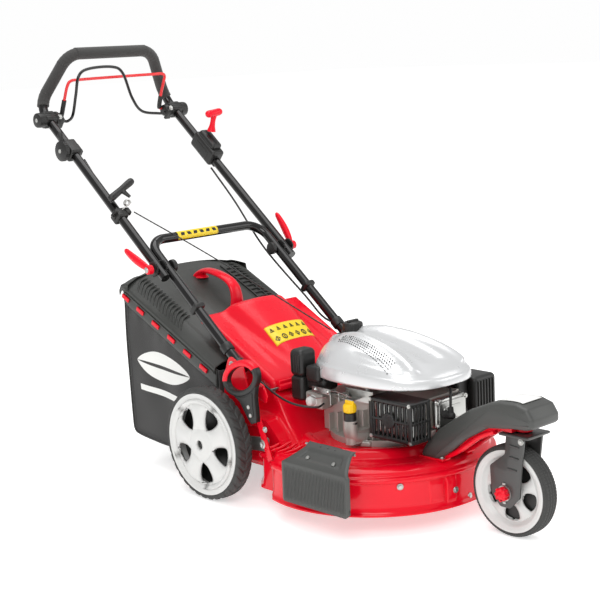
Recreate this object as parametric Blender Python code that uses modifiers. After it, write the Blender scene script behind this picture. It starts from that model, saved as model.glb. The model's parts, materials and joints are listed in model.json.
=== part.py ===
# Self-propelled rotary lawn mower with a swivelling front wheel and a grass bag.
# Metres, +Z up, the mower drives towards -Y, and the operator's right hand side is -X.
# The origin is on the ground, under the middle of the whole machine.
import math

import bmesh
import bpy
from mathutils import Matrix, Vector

WALL = 0.003  # pressed steel and moulded plastic walls
GAP = 0.0003  # clearance between pieces that touch
CUT_MARGIN = 0.02  # how far a cutter reaches past the wall it cuts

# Cutting deck, round about the blade's axis
BLADE_Y = -0.255
BLADE_HALF = 0.240
SKIRT_BOTTOM = 0.045
SKIRT_TOP = 0.137
DECK_TOP = 0.165
DECK_RADIUS = 0.281
REAR_HALF = 0.2255  # of the drum where it narrows in front of the rear wheels
NARROW_Y = -0.150
CHUTE_HALF = 0.205
CHUTE_UPPER_HALF = 0.166
CHUTE_START = -0.165
NEST = 0.007  # how deep the chute's upper part starts inside its lower part
SLOPE = math.radians(28)  # of the rear cover and the bag's lid

# Rear wheels and their height adjustment
REAR_AXLE_Y = 0.062
REAR_RADIUS = 0.140
REAR_RIM = 0.1255
REAR_WIDTH = 0.048
REAR_OUTER_X = 0.285
TYRE_SIDES = 32
REAR_HEIGHT = REAR_RADIUS * math.cos(math.pi / TYRE_SIDES)  # a flat side of the tyre is on the ground
CRANK_PIVOT = Vector((0, -0.108, 0.160))
AXLE_RADIUS = 0.006
GEARBOX_Y = REAR_AXLE_Y

# Swivelling front wheel
CASTER_RADIUS = 0.104
CASTER_RIM = 0.0925
CASTER_WIDTH = 0.045
CASTER_HEIGHT = CASTER_RADIUS * math.cos(math.pi / TYRE_SIDES)
CASTER_AXLE_Y = -0.668
SWIVEL_Y = -0.698
FORK_TOP = 0.240

# Handle, whose lower and upper tubes share one line in side view
TUBE_RADIUS = 0.0125
FOAM_RADIUS = 0.0165
LEG_X = 0.189
UPPER_X = 0.2155
LEG_BASE = Vector((0, 0.029, 0.337))
HANDLE_RISE = 0.825  # height gained for each metre back
HANDLE_ANGLE = math.atan(HANDLE_RISE)
CLAMP_Y = 0.280
CROSSBAR_Y = 0.353
GRIP_BEND_Y = 0.770
GRIP_BEND_RADIUS = 0.032
GRIP_BAR = (0.722, 1.085)
GRIP_HALF = 0.140
BRACKET_PLACE = (0.727, 0.913)  # y and z of the bail brackets
STOP_PIVOT = Vector((0, 0.735, 0.919))
DRIVE_PIVOT = Vector((0, 0.719, 0.906))
BRACKET_INNER_X = 0.174

# Engine, with its crankshaft on the blade's axis
SHAFT_RADIUS = 0.0125
COVER_CENTRE = (0.005, -0.305)
COVER_HALF = (0.140, 0.183)
COVER_LOW = 0.312
COVER_HIGH = 0.402

# Grass bag
BAG_HALF = 0.195
LID_HALF = 0.204
LID_EDGE = (0.108, 0.318)  # one point of the lid's lower edge
LID_RISE = 0.478  # of the lid for each metre back

# Flaps
SIDE_HINGE = (-0.2440, 0.1930)  # x and z of the side flap's hinge pin
REAR_HINGE = (-0.078, 0.2740)  # y and z of the rear cover's hinge pin

FINISHES = {
    "red_paint": ((0.70, 0.010, 0.030), 0.22, 0.0),
    "black_paint": ((0.012, 0.012, 0.012), 0.25, 0.0),
    "steel": ((0.55, 0.55, 0.54), 0.35, 1.0),
    "cast_aluminium": ((0.42, 0.40, 0.38), 0.50, 0.9),
    "silver_plastic": ((0.80, 0.80, 0.80), 0.30, 0.1),
    "white_plastic": ((0.82, 0.82, 0.80), 0.35, 0.0),
    "grey_plastic": ((0.075, 0.077, 0.075), 0.55, 0.0),
    "black_plastic": ((0.022, 0.022, 0.022), 0.50, 0.0),
    "red_plastic": ((0.78, 0.030, 0.050), 0.35, 0.0),
    "yellow_plastic": ((0.90, 0.62, 0.02), 0.40, 0.0),
    "rubber": ((0.035, 0.035, 0.034), 0.80, 0.0),
    "foam": ((0.030, 0.028, 0.026), 0.90, 0.0),
    "fabric": ((0.028, 0.028, 0.027), 0.95, 0.0),
    "belt_rubber": ((0.020, 0.020, 0.020), 0.85, 0.0),
}


def clear_scene():
    for obj in list(bpy.data.objects):
        bpy.data.objects.remove(obj, do_unlink=True)


def new_collection(name):
    made = bpy.data.collections.new(name)
    bpy.context.scene.collection.children.link(made)
    return made


clear_scene()
MOWER = new_collection("lawn_mower")
CUTTERS = new_collection("cutters")


def finish_of(name):
    if name in bpy.data.materials:
        return bpy.data.materials[name]
    colour, roughness, metallic = FINISHES[name]
    made = bpy.data.materials.new(name)
    made.use_nodes = True
    shader = made.node_tree.nodes["Principled BSDF"]
    shader.inputs["Base Color"].default_value = (*colour, 1.0)
    shader.inputs["Roughness"].default_value = roughness
    shader.inputs["Metallic"].default_value = metallic
    return made


def add_object(name, data, finish, location=(0, 0, 0), rotation=(0, 0, 0)):
    obj = bpy.data.objects.new(name, data)
    obj.location = location
    obj.rotation_euler = rotation
    obj.data.materials.append(finish_of(finish))
    MOWER.objects.link(obj)
    return obj


def mesh_from(name, bm, smooth_angle=40):
    mesh = bpy.data.meshes.new(name)
    bm.to_mesh(mesh)
    bm.free()
    mesh.shade_smooth()
    mesh.set_sharp_from_angle(angle=math.radians(smooth_angle))
    return mesh


def as_mesh(obj):
    """The same object as a mesh, with a curve's caps welded to its sides."""
    bpy.context.view_layer.update()
    graph = bpy.context.evaluated_depsgraph_get()
    mesh = bpy.data.meshes.new_from_object(obj.evaluated_get(graph))
    bm = bmesh.new()
    bm.from_mesh(mesh)
    bmesh.ops.remove_doubles(bm, verts=bm.verts, dist=0.00002)
    bm.to_mesh(mesh)
    bm.free()
    mesh.shade_smooth()
    mesh.set_sharp_from_angle(angle=math.radians(40))
    name = obj.name
    place = obj.matrix_world.copy()
    bpy.data.objects.remove(obj, do_unlink=True)
    made = bpy.data.objects.new(name, mesh)
    made.matrix_world = place
    MOWER.objects.link(made)
    return made


def boolean(target, tools, operation):
    for tool in tools:
        MOWER.objects.unlink(tool)
        CUTTERS.objects.link(tool)
        tool.hide_render = True
        tool.display_type = "WIRE"
        modifier = target.modifiers.new(tool.name, "BOOLEAN")
        modifier.operation = operation
        modifier.object = tool
    return target


def cut(target, *tools):
    return boolean(target, tools, "DIFFERENCE")


def join(target, *tools):
    return boolean(target, tools, "UNION")


def soften(obj, width, segments=2):
    """Rounded edges."""
    modifier = obj.modifiers.new("rounded_edges", "BEVEL")
    modifier.width = width
    modifier.segments = segments
    modifier.limit_method = "ANGLE"
    modifier.angle_limit = math.radians(40)
    return obj


def block(name, finish, low, high):
    bm = bmesh.new()
    size = [h - l for l, h in zip(low, high)]
    bmesh.ops.create_cube(bm, size=1.0, matrix=Matrix.Diagonal((*size, 1.0)))
    centre = [(l + h) / 2 for l, h in zip(low, high)]
    return add_object(name, mesh_from(name, bm), finish, centre)


def rod(name, finish, start, end, radius, sides=24, end_radius=None):
    """A straight bar or a cone from one point to another."""
    start = Vector(start)
    run = Vector(end) - start
    bm = bmesh.new()
    far = radius if end_radius is None else end_radius
    bmesh.ops.create_cone(bm, cap_ends=True, segments=sides, radius1=radius, radius2=far, depth=run.length)
    obj = add_object(name, mesh_from(name, bm), finish, start + run / 2)
    obj.rotation_mode = "QUATERNION"
    obj.rotation_quaternion = run.to_track_quat("Z", "Y")
    return obj


def turned(name, finish, profile, location, axis="Z", sides=32, ring=False):
    """A turned piece: (radius, height) points that run down its outer side."""
    mesh = bpy.data.meshes.new(name)
    edges = [(i, i + 1) for i in range(len(profile) - 1)]
    if ring:
        edges.append((len(profile) - 1, 0))
    start = math.pi / sides  # so that a flat side, not an edge, meets the ground
    mesh.from_pydata([(r * math.cos(start), r * math.sin(start), z) for r, z in profile], edges, [])
    turn = {"Z": (0, 0, 0), "X": (0, math.pi / 2, 0)}[axis]
    obj = add_object(name, mesh, finish, location, turn)
    screw = obj.modifiers.new("turned", "SCREW")
    screw.steps = sides
    screw.render_steps = sides
    screw.use_merge_vertices = True
    screw.merge_threshold = 0.00002
    screw.use_smooth_shade = True
    return obj


def tube(name, finish, points, radius, resolution=2):
    curve = bpy.data.curves.new(name, "CURVE")
    curve.dimensions = "3D"
    curve.bevel_depth = radius
    curve.bevel_resolution = resolution
    curve.use_fill_caps = True
    spline = curve.splines.new("POLY")
    spline.points.add(len(points) - 1)
    for point, place in zip(spline.points, points):
        point.co = (*place, 1.0)
    spline.use_smooth = True
    return as_mesh(add_object(name, curve, finish))


def plate(name, finish, outline, low_x, high_x):
    """A flat piece with an outline in (y, z), between two values of x."""
    curve = bpy.data.curves.new(name, "CURVE")
    curve.dimensions = "2D"
    curve.fill_mode = "BOTH"
    curve.extrude = (high_x - low_x) / 2
    spline = curve.splines.new("POLY")
    spline.points.add(len(outline) - 1)
    for point, (y, z) in zip(spline.points, outline):
        point.co = (y, z, 0, 1)
    spline.use_cyclic_u = True
    middle = ((low_x + high_x) / 2, 0, 0)
    return as_mesh(add_object(name, curve, finish, middle, (math.pi / 2, 0, math.pi / 2)))


def shell(name, finish, grid, wall):
    """A wall of even thickness over an open grid of points."""
    bm = bmesh.new()
    rows = [[bm.verts.new(point) for point in row] for row in grid]
    for lower, upper in zip(rows, rows[1:]):
        for i in range(len(lower) - 1):
            bm.faces.new((lower[i], lower[i + 1], upper[i + 1], upper[i]))
    obj = add_object(name, mesh_from(name, bm), finish)
    solidify = obj.modifiers.new("wall", "SOLIDIFY")
    solidify.thickness = wall
    solidify.offset = -1.0
    return obj


def rounded_path(points, radius, steps=5):
    """Straight runs between the points, with an arc at each inner one."""
    points = [Vector(p) for p in points]
    path = [points[0]]
    for before, corner, after in zip(points, points[1:], points[2:]):
        a = (before - corner).normalized()
        b = (after - corner).normalized()
        half = a.angle(b) / 2
        reach = radius / math.tan(half)
        centre = corner + (a + b).normalized() * (radius / math.sin(half))
        first = corner + a * reach - centre
        last = corner + b * reach - centre
        for k in range(steps + 1):
            path.append(centre + first.slerp(last, k / steps) * radius)
    path.append(points[-1])
    return path


def smooth_route(points, spacing):
    """Evenly read points of a smooth curve through the given ones."""
    points = [Vector(p) for p in points]
    ends = [2 * points[0] - points[1], *points, 2 * points[-1] - points[-2]]
    route = []
    for p0, p1, p2, p3 in zip(ends, ends[1:], ends[2:], ends[3:]):
        steps = max(1, round((p2 - p1).length / spacing))
        for k in range(steps):
            t = k / steps
            route.append(
                0.5 * (2 * p1 + (p2 - p0) * t + (2 * p0 - 5 * p1 + 4 * p2 - p3) * t**2
                       + (3 * p1 - p0 - 3 * p2 + p3) * t**3)
            )
    route.append(points[-1])
    return route


def rounded_outline(points, radius, steps=3):
    """A closed flat outline in two coordinates, with rounded corners."""
    flat = [Vector((a, b, 0)) for a, b in points]
    closed = [(flat[-1] + flat[0]) / 2, *flat, (flat[-1] + flat[0]) / 2]
    return [(p.x, p.y) for p in rounded_path(closed, radius, steps)[1:-1]]


def handle_point(x, y, lift=0.0):
    """The point of the handle's side-view line at y, raised square to the line."""
    z = LEG_BASE.z + (y - LEG_BASE.y) * HANDLE_RISE
    normal = Vector((0, -math.sin(HANDLE_ANGLE), math.cos(HANDLE_ANGLE)))
    return Vector((x, y, z)) + normal * lift


def pivot(name, location):
    empty = bpy.data.objects.new(name, None)
    empty.location = location
    empty.empty_display_size = 0.03
    MOWER.objects.link(empty)
    return empty


def attach(parent, *children):
    """Children keep their places and turn about the parent's origin."""
    bpy.context.view_layer.update()
    for child in children:
        child.parent = parent
        child.matrix_parent_inverse = parent.matrix_world.inverted()


# ---- cutting deck -------------------------------------------------------------


def drum_profile(inset):
    return [
        (0, DECK_TOP - inset),
        (0.170 - inset, DECK_TOP - inset),
        (0.186 - inset, 0.150 - inset),
        (0.256 - inset, 0.150 - inset),
        (0.273 - inset, SKIRT_TOP - inset),
        (0.277 - inset, 0.060),
        (DECK_RADIUS - inset, SKIRT_BOTTOM - (CUT_MARGIN if inset else 0)),
        (0, SKIRT_BOTTOM - (CUT_MARGIN if inset else 0)),
    ]


def chute_outline(inset, top, rear, nest=0.0):
    """Side view of the tunnel that rises from the drum to the bag's mouth.

    nest draws the front and the floor of the narrow upper part inside the wide lower one.
    """
    cut_end = CUT_MARGIN if inset else 0.0
    low = 0.062 + nest - cut_end
    return [
        (CHUTE_START + inset + nest, low),
        (CHUTE_START + inset + nest, 0.150 - inset - nest),
        (CHUTE_START + 0.030 + inset, 0.174 - inset - nest),
        (-0.092 + inset, min(top, 0.257) - inset),
        (rear - 0.018, top - inset),
        (rear + cut_end, top - inset),
        (rear + cut_end, 0.186 + inset + nest),
        (0.000, 0.176 + inset + nest),
        (-0.060 - inset - nest, low),
    ]


def narrowed(drum, inset):
    """Flat sides on the drum's rear, where the wheels' cranks stand."""
    for side in (-1, 1):
        near, far = sorted((side * (REAR_HALF - inset), side * 0.35))
        trim = block(f"{drum.name}_side_{side}", "red_paint", (near, NARROW_Y - inset, 0), (far, 0.1, 0.3))
        cut(drum, trim)
    return drum


def make_deck():
    centre = (0, BLADE_Y, 0)
    deck = turned("deck", "red_paint", drum_profile(0), centre, sides=48)
    lower = plate("chute_lower", "red_paint", chute_outline(0, 0.212, 0.076), -CHUTE_HALF, CHUTE_HALF)
    upper = plate(
        "chute_upper", "red_paint", chute_outline(0, 0.336, 0.0765, NEST), -CHUTE_UPPER_HALF, CHUTE_UPPER_HALF
    )
    narrowed(deck, 0)
    join(deck, lower, upper)
    drum_inside = narrowed(turned("drum_inside", "red_paint", drum_profile(WALL), centre, sides=48), WALL)
    lower_inside = plate(
        "chute_lower_inside", "red_paint", chute_outline(WALL, 0.212, 0.076),
        WALL - CHUTE_HALF, CHUTE_HALF - WALL,
    )
    upper_inside = plate(
        "chute_upper_inside", "red_paint", chute_outline(WALL, 0.336, 0.0765, NEST),
        WALL - CHUTE_UPPER_HALF, CHUTE_UPPER_HALF - WALL,
    )
    shaft_hole = rod("shaft_hole", "red_paint", (0, BLADE_Y, 0.12), (0, BLADE_Y, 0.20), 0.030)
    side_opening = block("side_opening", "red_paint", (-0.32, -0.415, 0.070), (-0.20, -0.255, 0.128))
    belt_slot = block("belt_slot", "red_paint", (-0.050, -0.03, 0.1440), (0.050, 0.06, 0.1575))
    cut(deck, drum_inside, lower_inside, upper_inside, shaft_hole, side_opening, belt_slot)
    return deck


# ---- engine -------------------------------------------------------------------


def make_engine():
    low = DECK_TOP + GAP
    flange = rod("engine_block", "cast_aluminium", (0, -0.276, low), (0, -0.276, 0.180), 0.125, sides=40)
    crankcase = block("crankcase", "cast_aluminium", (-0.085, -0.345, 0.176), (0.085, -0.165, 0.270))
    cylinder = block("cylinder", "cast_aluminium", (-0.045, -0.455, 0.205), (0.065, -0.340, 0.282))
    boss = block("filler_boss", "cast_aluminium", (-0.145, -0.326, 0.176), (-0.080, -0.300, 0.205))
    neck = rod("filler_neck", "cast_aluminium", (-0.145, -0.313, 0.176), (-0.145, -0.313, 0.246), 0.013, sides=20)
    join(flange, crankcase, cylinder, boss, neck)
    for k in range(6):
        z = 0.208 + 0.014 * k
        fin = block(f"fin_{k}", "cast_aluminium", (-0.055, -0.450, z), (0.075, -0.350, z + 0.004))
        join(flange, fin)
    bore = rod("crank_bore", "cast_aluminium", (0, BLADE_Y, 0.14), (0, BLADE_Y, 0.30), SHAFT_RADIUS + 0.0005)
    cut(flange, bore)

    block("valve_cover", "steel", (-0.035, -0.478, 0.212), (0.070, -0.4553, 0.280))
    soften(bpy.data.objects["valve_cover"], 0.006)
    block("muffler", "steel", (-0.116, -0.474, 0.206), (-0.066, -0.364, 0.282))
    soften(bpy.data.objects["muffler"], 0.010)
    guard = block("muffler_guard", "black_paint", (-0.126, -0.484, 0.196), (-0.061, -0.354, 0.291))
    inside = block("guard_inside", "black_paint", (-0.122, -0.480, 0.200), (-0.040, -0.358, 0.287))
    cut(guard, inside)
    for k in range(6):
        y = -0.470 + 0.020 * k
        slot = block(f"guard_slot_{k}", "black_paint", (-0.15, y, 0.212), (-0.110, y + 0.008, 0.275))
        cut(guard, slot)
    filter_box = block("air_filter_box", "black_plastic", (-0.132, -0.142, 0.245), (-0.078, -0.098, 0.370))
    soften(filter_box, 0.014)
    block("carburettor", "steel", (-0.125, -0.200, 0.232), (-0.0855, -0.1425, 0.272))
    soften(bpy.data.objects["carburettor"], 0.006)
    plug_place = (-0.010, 0.245)
    plug = rod(
        "spark_plug", "rubber", (plug_place[0], -0.4783, plug_place[1]), (plug_place[0], -0.505, plug_place[1]),
        0.009, sides=16,
    )
    boot = rod(
        "plug_boot", "rubber", (plug_place[0], -0.498, plug_place[1] + 0.018), (plug_place[0], -0.498, 0.240),
        0.0065, sides=16,
    )
    join(plug, boot)


def dome_grid():
    """A rounded-box dome, whose plan and side view are superellipses."""
    rows = []
    for k in range(7):
        rise = math.radians(90) * k / 6 * 0.97
        width = math.cos(rise) ** 0.62
        height = math.sin(rise) ** 0.75 if k else 0.0
        row = []
        for i in range(32):
            turn = 2 * math.pi * i / 32
            c, s = math.cos(turn), math.sin(turn)
            x = math.copysign(abs(c) ** 0.78, c) * COVER_HALF[0] * width
            y = math.copysign(abs(s) ** 0.78, s) * COVER_HALF[1] * width
            row.append((COVER_CENTRE[0] + x, COVER_CENTRE[1] + y, COVER_LOW + (COVER_HIGH - COVER_LOW) * height))
        rows.append(row)
    return rows


def make_engine_cover():
    bm = bmesh.new()
    verts = [[bm.verts.new(point) for point in row] for row in dome_grid()]
    for lower, upper in zip(verts, verts[1:]):
        for i in range(32):
            j = (i + 1) % 32
            bm.faces.new((lower[i], lower[j], upper[j], upper[i]))
    bm.faces.new(verts[-1])
    cover = add_object("engine_cover", mesh_from("engine_cover", bm), "silver_plastic")
    solidify = cover.modifiers.new("wall", "SOLIDIFY")
    solidify.thickness = WALL
    solidify.offset = -1.0
    cap_hole = rod("cap_hole", "silver_plastic", (0.011, -0.177, 0.35), (0.011, -0.177, 0.45), 0.027)
    cut(cover, cap_hole)

    tank = block("fuel_tank", "black_plastic", (-0.055, -0.235, 0.330), (0.075, -0.150, 0.366))
    soften(tank, 0.010)
    neck = rod("tank_neck", "black_plastic", (0.011, -0.177, 0.360), (0.011, -0.177, 0.398), 0.018, sides=20)
    join(tank, neck)
    cap = turned(
        "fuel_cap", "black_plastic",
        [(0, 0.422), (0.019, 0.422), (0.0245, 0.418), (0.0245, 0.3983), (0, 0.3983)],
        (0, 0, 0), sides=28,
    )
    cap.location = (0.011, -0.177, 0)
    attach(pivot("fuel_cap_axis", (0.011, -0.177, 0.41)), cap)

    stick = turned(
        "oil_dipstick", "yellow_plastic",
        [(0, 0.272), (0.012, 0.272), (0.016, 0.267), (0.016, 0.2463), (0, 0.2463)],
        (-0.145, -0.313, 0), sides=20,
    )
    attach(pivot("dipstick_axis", (-0.145, -0.313, 0.26)), stick)


def make_spindle():
    axis = (0, BLADE_Y, 0)
    shaft = rod("crankshaft", "steel", (0, BLADE_Y, 0.086), (0, BLADE_Y, 0.296), SHAFT_RADIUS, sides=20)
    flywheel = turned(
        "flywheel", "cast_aluminium",
        [(0, 0.318), (0.030, 0.318), (0.034, 0.298), (0.085, 0.298), (0.084, 0.2963), (0, 0.2963)],
        axis, sides=32,
    )
    pulley = turned(
        "drive_pulley", "steel",
        [(SHAFT_RADIUS + GAP, 0.158), (0.034, 0.158), (0.026, 0.1505), (0.034, 0.143), (SHAFT_RADIUS + GAP, 0.143)],
        axis, sides=28, ring=True,
    )
    adapter = turned(
        "blade_adapter", "cast_aluminium",
        [(SHAFT_RADIUS + GAP, 0.118), (0.022, 0.118), (0.024, 0.094), (0.034, 0.090), (0.034, 0.0823),
         (0.0055, 0.0823), (0.0055, 0.0857), (SHAFT_RADIUS + GAP, 0.0857)],
        axis, sides=28, ring=True,
    )
    outline = rounded_outline(
        [(-BLADE_HALF, -0.025), (-0.180, -0.028), (0.180, -0.028), (BLADE_HALF - 0.002, -0.018),
         (BLADE_HALF - 0.002, 0.025), (0.180, 0.028), (-0.180, 0.028), (-BLADE_HALF, 0.018)], 0.004, 2,
    )
    blade = plate("blade", "steel", outline, 0.078, 0.082)
    blade.matrix_world = Matrix.Translation((0, BLADE_Y, 0.080))
    bolt_hole = rod("blade_hole", "steel", (0, BLADE_Y, 0.06), (0, BLADE_Y, 0.10), 0.0055, sides=16)
    cut(blade, bolt_hole)
    bolt = rod("blade_bolt", "steel", (0, BLADE_Y, 0.068), (0, BLADE_Y, 0.0777), 0.013, sides=6)
    shank = rod("bolt_shank", "steel", (0, BLADE_Y, 0.076), (0, BLADE_Y, 0.0857), 0.005, sides=16)
    join(bolt, shank)
    attach(pivot("blade_axis", (0, BLADE_Y, 0.08)), shaft, flywheel, pulley, adapter, blade, bolt)


def make_drive():
    """Belt from the crankshaft to the gearbox on the rear axle."""
    def stadium(radius):
        points = []
        for k in range(13):
            turn = math.pi + math.pi * k / 12
            points.append((radius * math.cos(turn), BLADE_Y + radius * math.sin(turn)))
        for k in range(13):
            turn = math.pi * k / 12
            points.append((radius * math.cos(turn), GEARBOX_Y + radius * math.sin(turn)))
        return points

    outer = flat_plate("drive_belt", "belt_rubber", stadium(0.0385), 0.1470, 0.1540)
    inner = flat_plate("belt_inside", "belt_rubber", stadium(0.0345), 0.13, 0.16)
    cut(outer, inner)


def flat_plate(name, finish, outline, low_z, high_z):
    """A flat piece with an outline in (x, y), between two heights."""
    obj = plate(name, finish, outline, low_z, high_z)
    obj.matrix_world = Matrix.Translation((0, 0, (low_z + high_z) / 2))
    return obj


# ---- rear axle, height lever and wheels ------------------------------------------


def make_rear_axle():
    axle_place = Vector((0, REAR_AXLE_Y, REAR_HEIGHT))
    axle = rod(
        "rear_axle", "steel", axle_place - Vector((0.283, 0, 0)), axle_place + Vector((0.283, 0, 0)),
        AXLE_RADIUS, sides=20,
    )
    for side in (-1, 1):
        x = side * 0.2298
        arm = plate(
            f"crank_arm_{side}", "steel",
            rounded_outline([(-0.124, 0.143), (-0.124, 0.177), (0.078, 0.155), (0.078, 0.124)], 0.010),
            x - 0.003, x + 0.003,
        )
        stub = rod(
            f"crank_stub_{side}", "steel", (side * (REAR_HALF + 0.0008), CRANK_PIVOT.y, CRANK_PIVOT.z),
            (side * 0.233, CRANK_PIVOT.y, CRANK_PIVOT.z), 0.012, sides=20,
        )
        join(axle, arm, stub)
    bar = plate(
        "height_lever", "steel",
        [(-0.142, 0.128), (-0.126, 0.120), (-0.110, 0.160), (-0.084, 0.232), (-0.100, 0.238), (-0.122, 0.180)],
        -0.2375, -0.2333,
    )
    grip = make_lever_grip()
    gearbox = block("gearbox", "cast_aluminium", (-0.030, 0.040, 0.096), (0.075, 0.084, 0.1405))
    soften(gearbox, 0.008)
    neck = rod("input_neck", "cast_aluminium", (0, GEARBOX_Y, 0.120), (0, GEARBOX_Y, 0.156), 0.020, sides=24)
    axle_tunnel = rod("axle_tunnel", "cast_aluminium", (-0.1, REAR_AXLE_Y, REAR_HEIGHT),
                      (0.1, REAR_AXLE_Y, REAR_HEIGHT), AXLE_RADIUS + 0.0004, sides=20)
    pulley = rod("input_pulley", "cast_aluminium", (0, GEARBOX_Y, 0.1475), (0, GEARBOX_Y, 0.1535), 0.034, sides=28)
    join(gearbox, neck, pulley)
    cut(gearbox, axle_tunnel)
    attach(pivot("height_axis", CRANK_PIVOT), axle, bar, grip, gearbox)


def make_lever_grip():
    """Ring handle on the height lever, in the lever's own plane."""
    lean = math.radians(22)
    centre = Vector((-0.245, -0.058, 0.314))

    def at(along, up):
        """Axes of the ring: along is across the lever, up is away from the ground."""
        return (
            centre.y + along * math.cos(lean) + up * math.sin(lean),
            centre.z + up * math.cos(lean) - along * math.sin(lean),
        )

    outer = []
    inner = []
    for k in range(28):
        turn = 2 * math.pi * k / 28
        outer.append(at(0.066 * math.cos(turn), 0.042 * math.sin(turn)))
        inner.append(at(0.050 * math.cos(turn), 0.027 * math.sin(turn)))
    grip = plate("height_lever_grip", "black_plastic", outer, -0.256, -0.236)
    hole = plate("ring_hole", "black_plastic", inner, -0.28, -0.20)
    stem = plate(
        "ring_stem", "black_plastic",
        [at(-0.050, -0.022), at(-0.010, -0.110), at(0.012, -0.110), at(0.050, -0.022)], -0.252, -0.2378,
    )
    join(grip, stem)
    cut(grip, hole)
    return grip


def wheel_windows(name, centre, inner, outer, low_x, high_x):
    """Five rounded openings between the spokes."""
    tools = []
    for k in range(5):
        turn = math.radians(90 + 72 * k)
        corners = []
        for radius, spread in ((inner, 14), (outer, 21), (outer * 1.045, 0), (outer, -21), (inner, -14)):
            angle = turn + math.radians(spread)
            corners.append((centre[0] + radius * math.cos(angle), centre[1] + radius * math.sin(angle)))
        outline = rounded_outline(corners, 0.007, 1)
        tools.append(plate(f"{name}_window_{k}", "white_plastic", outline, low_x, high_x))
    return tools


def make_rear_wheel(side, outer_x):
    """side is -1 for the operator's right and 1 for the left."""
    word = "right" if side < 0 else "left"
    half = REAR_WIDTH / 2
    centre = (side * (outer_x - half), REAR_AXLE_Y, REAR_HEIGHT)
    r = REAR_RADIUS
    tyre = turned(
        f"rear_tyre_{word}", "rubber",
        [(REAR_RIM + GAP, half - 0.003), (r - 0.010, half - 0.001), (r - 0.003, half - 0.006), (r, half - 0.014),
         (r, 0.014 - half), (r - 0.003, 0.006 - half), (r - 0.010, 0.001 - half), (REAR_RIM + GAP, 0.003 - half)],
        centre, "X", TYRE_SIDES, ring=True,
    )
    bore = AXLE_RADIUS + 0.0005
    out = side * half
    sign = side
    profile = [
        (bore, out), (0.024, out), (0.030, out - sign * 0.006), (0.092, out - sign * 0.010),
        (0.104, out - sign * 0.002), (REAR_RIM, out), (REAR_RIM, -out), (0.112, -out),
        (0.106, out - sign * 0.016), (0.030, out - sign * 0.018), (0.024, -out), (bore, -out),
    ]
    if side < 0:
        profile = [(radius, height) for radius, height in reversed(profile)]
    rim = turned(f"rear_rim_{word}", "white_plastic", profile, centre, "X", TYRE_SIDES, ring=True)
    middle = (REAR_AXLE_Y, REAR_HEIGHT)
    cut(rim, *wheel_windows(f"rear_{word}", middle, 0.052, 0.090, centre[0] - 0.05, centre[0] + 0.05))
    attach(pivot(f"rear_wheel_axis_{word}", centre), tyre, rim)


# ---- swivelling front wheel --------------------------------------------------------


def make_caster():
    centre = (0, CASTER_AXLE_Y, CASTER_HEIGHT)
    half = CASTER_WIDTH / 2
    r = CASTER_RADIUS
    tyre = turned(
        "caster_tyre", "rubber",
        [(CASTER_RIM + GAP, half - 0.002), (r - 0.005, half - 0.001), (r, half - 0.008),
         (r, 0.008 - half), (r - 0.005, 0.001 - half), (CASTER_RIM + GAP, 0.002 - half)],
        centre, "X", TYRE_SIDES, ring=True,
    )
    bore = 0.0055
    rim = turned(
        "caster_rim", "white_plastic",
        [(bore, half), (0.016, half), (0.022, half - 0.012), (0.066, half - 0.014), (0.078, half - 0.002),
         (CASTER_RIM, half), (CASTER_RIM, -half), (0.078, 0.002 - half), (0.066, 0.014 - half),
         (0.022, 0.012 - half), (0.016, -half), (bore, -half)],
        centre, "X", TYRE_SIDES, ring=True,
    )
    cut(rim, *wheel_windows("caster", (CASTER_AXLE_Y, CASTER_HEIGHT), 0.034, 0.062, -0.05, 0.05))

    leg_outline = rounded_outline(
        [(-0.722, 0.2385), (-0.676, 0.2385), (-0.672, 0.190), (-0.626, 0.158), (-0.630, 0.098),
         (-0.655, 0.070), (-0.682, 0.070), (-0.708, 0.098), (-0.712, 0.160)], 0.006, 2,
    )
    fork = block("caster_fork", "grey_plastic", (-0.040, -0.738, 0.2340), (0.040, -0.658, FORK_TOP))
    for side in (-1, 1):
        x = side * 0.0315
        join(fork, plate(f"fork_leg_{side}", "grey_plastic", leg_outline, x - 0.003, x + 0.003))
    stem = rod("swivel_stem", "steel", (0, SWIVEL_Y, 0.236), (0, SWIVEL_Y, 0.2895), 0.0095, sides=20)
    join(fork, stem)
    axle_hole = rod("fork_axle_hole", "steel", (-0.05, CASTER_AXLE_Y, CASTER_HEIGHT),
                    (0.05, CASTER_AXLE_Y, CASTER_HEIGHT), 0.0055, sides=16)
    cut(fork, axle_hole)
    bolt = rod("caster_axle", "red_plastic", (-0.052, CASTER_AXLE_Y, CASTER_HEIGHT),
               (-0.0348, CASTER_AXLE_Y, CASTER_HEIGHT), 0.013, sides=12)
    shank = rod("axle_shank", "steel", (-0.040, CASTER_AXLE_Y, CASTER_HEIGHT),
                (0.044, CASTER_AXLE_Y, CASTER_HEIGHT), 0.005, sides=16)
    join(bolt, shank)
    swivel = pivot("swivel_axis", (0, SWIVEL_Y, 0.26))
    spin = pivot("caster_axis", centre)
    attach(swivel, fork, bolt, spin)
    attach(spin, tyre, rim)


def arch_outline(drop):
    """Side view of the front boom: up from the deck and forward over the wheel."""
    return [
        (-0.458 - drop, 0.1506),
        (-0.474 - drop, 0.196),
        (-0.498 - drop, 0.222 - drop / 2),
        (-0.532, 0.247 - drop),
        (-0.582, 0.279 - drop),
        (-0.645, 0.304 - drop),
        (-0.712 + drop / 2, 0.312 - drop),
        (-0.744 + drop, 0.300 - drop),
        (-0.757 + drop, 0.262),
    ]


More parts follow.
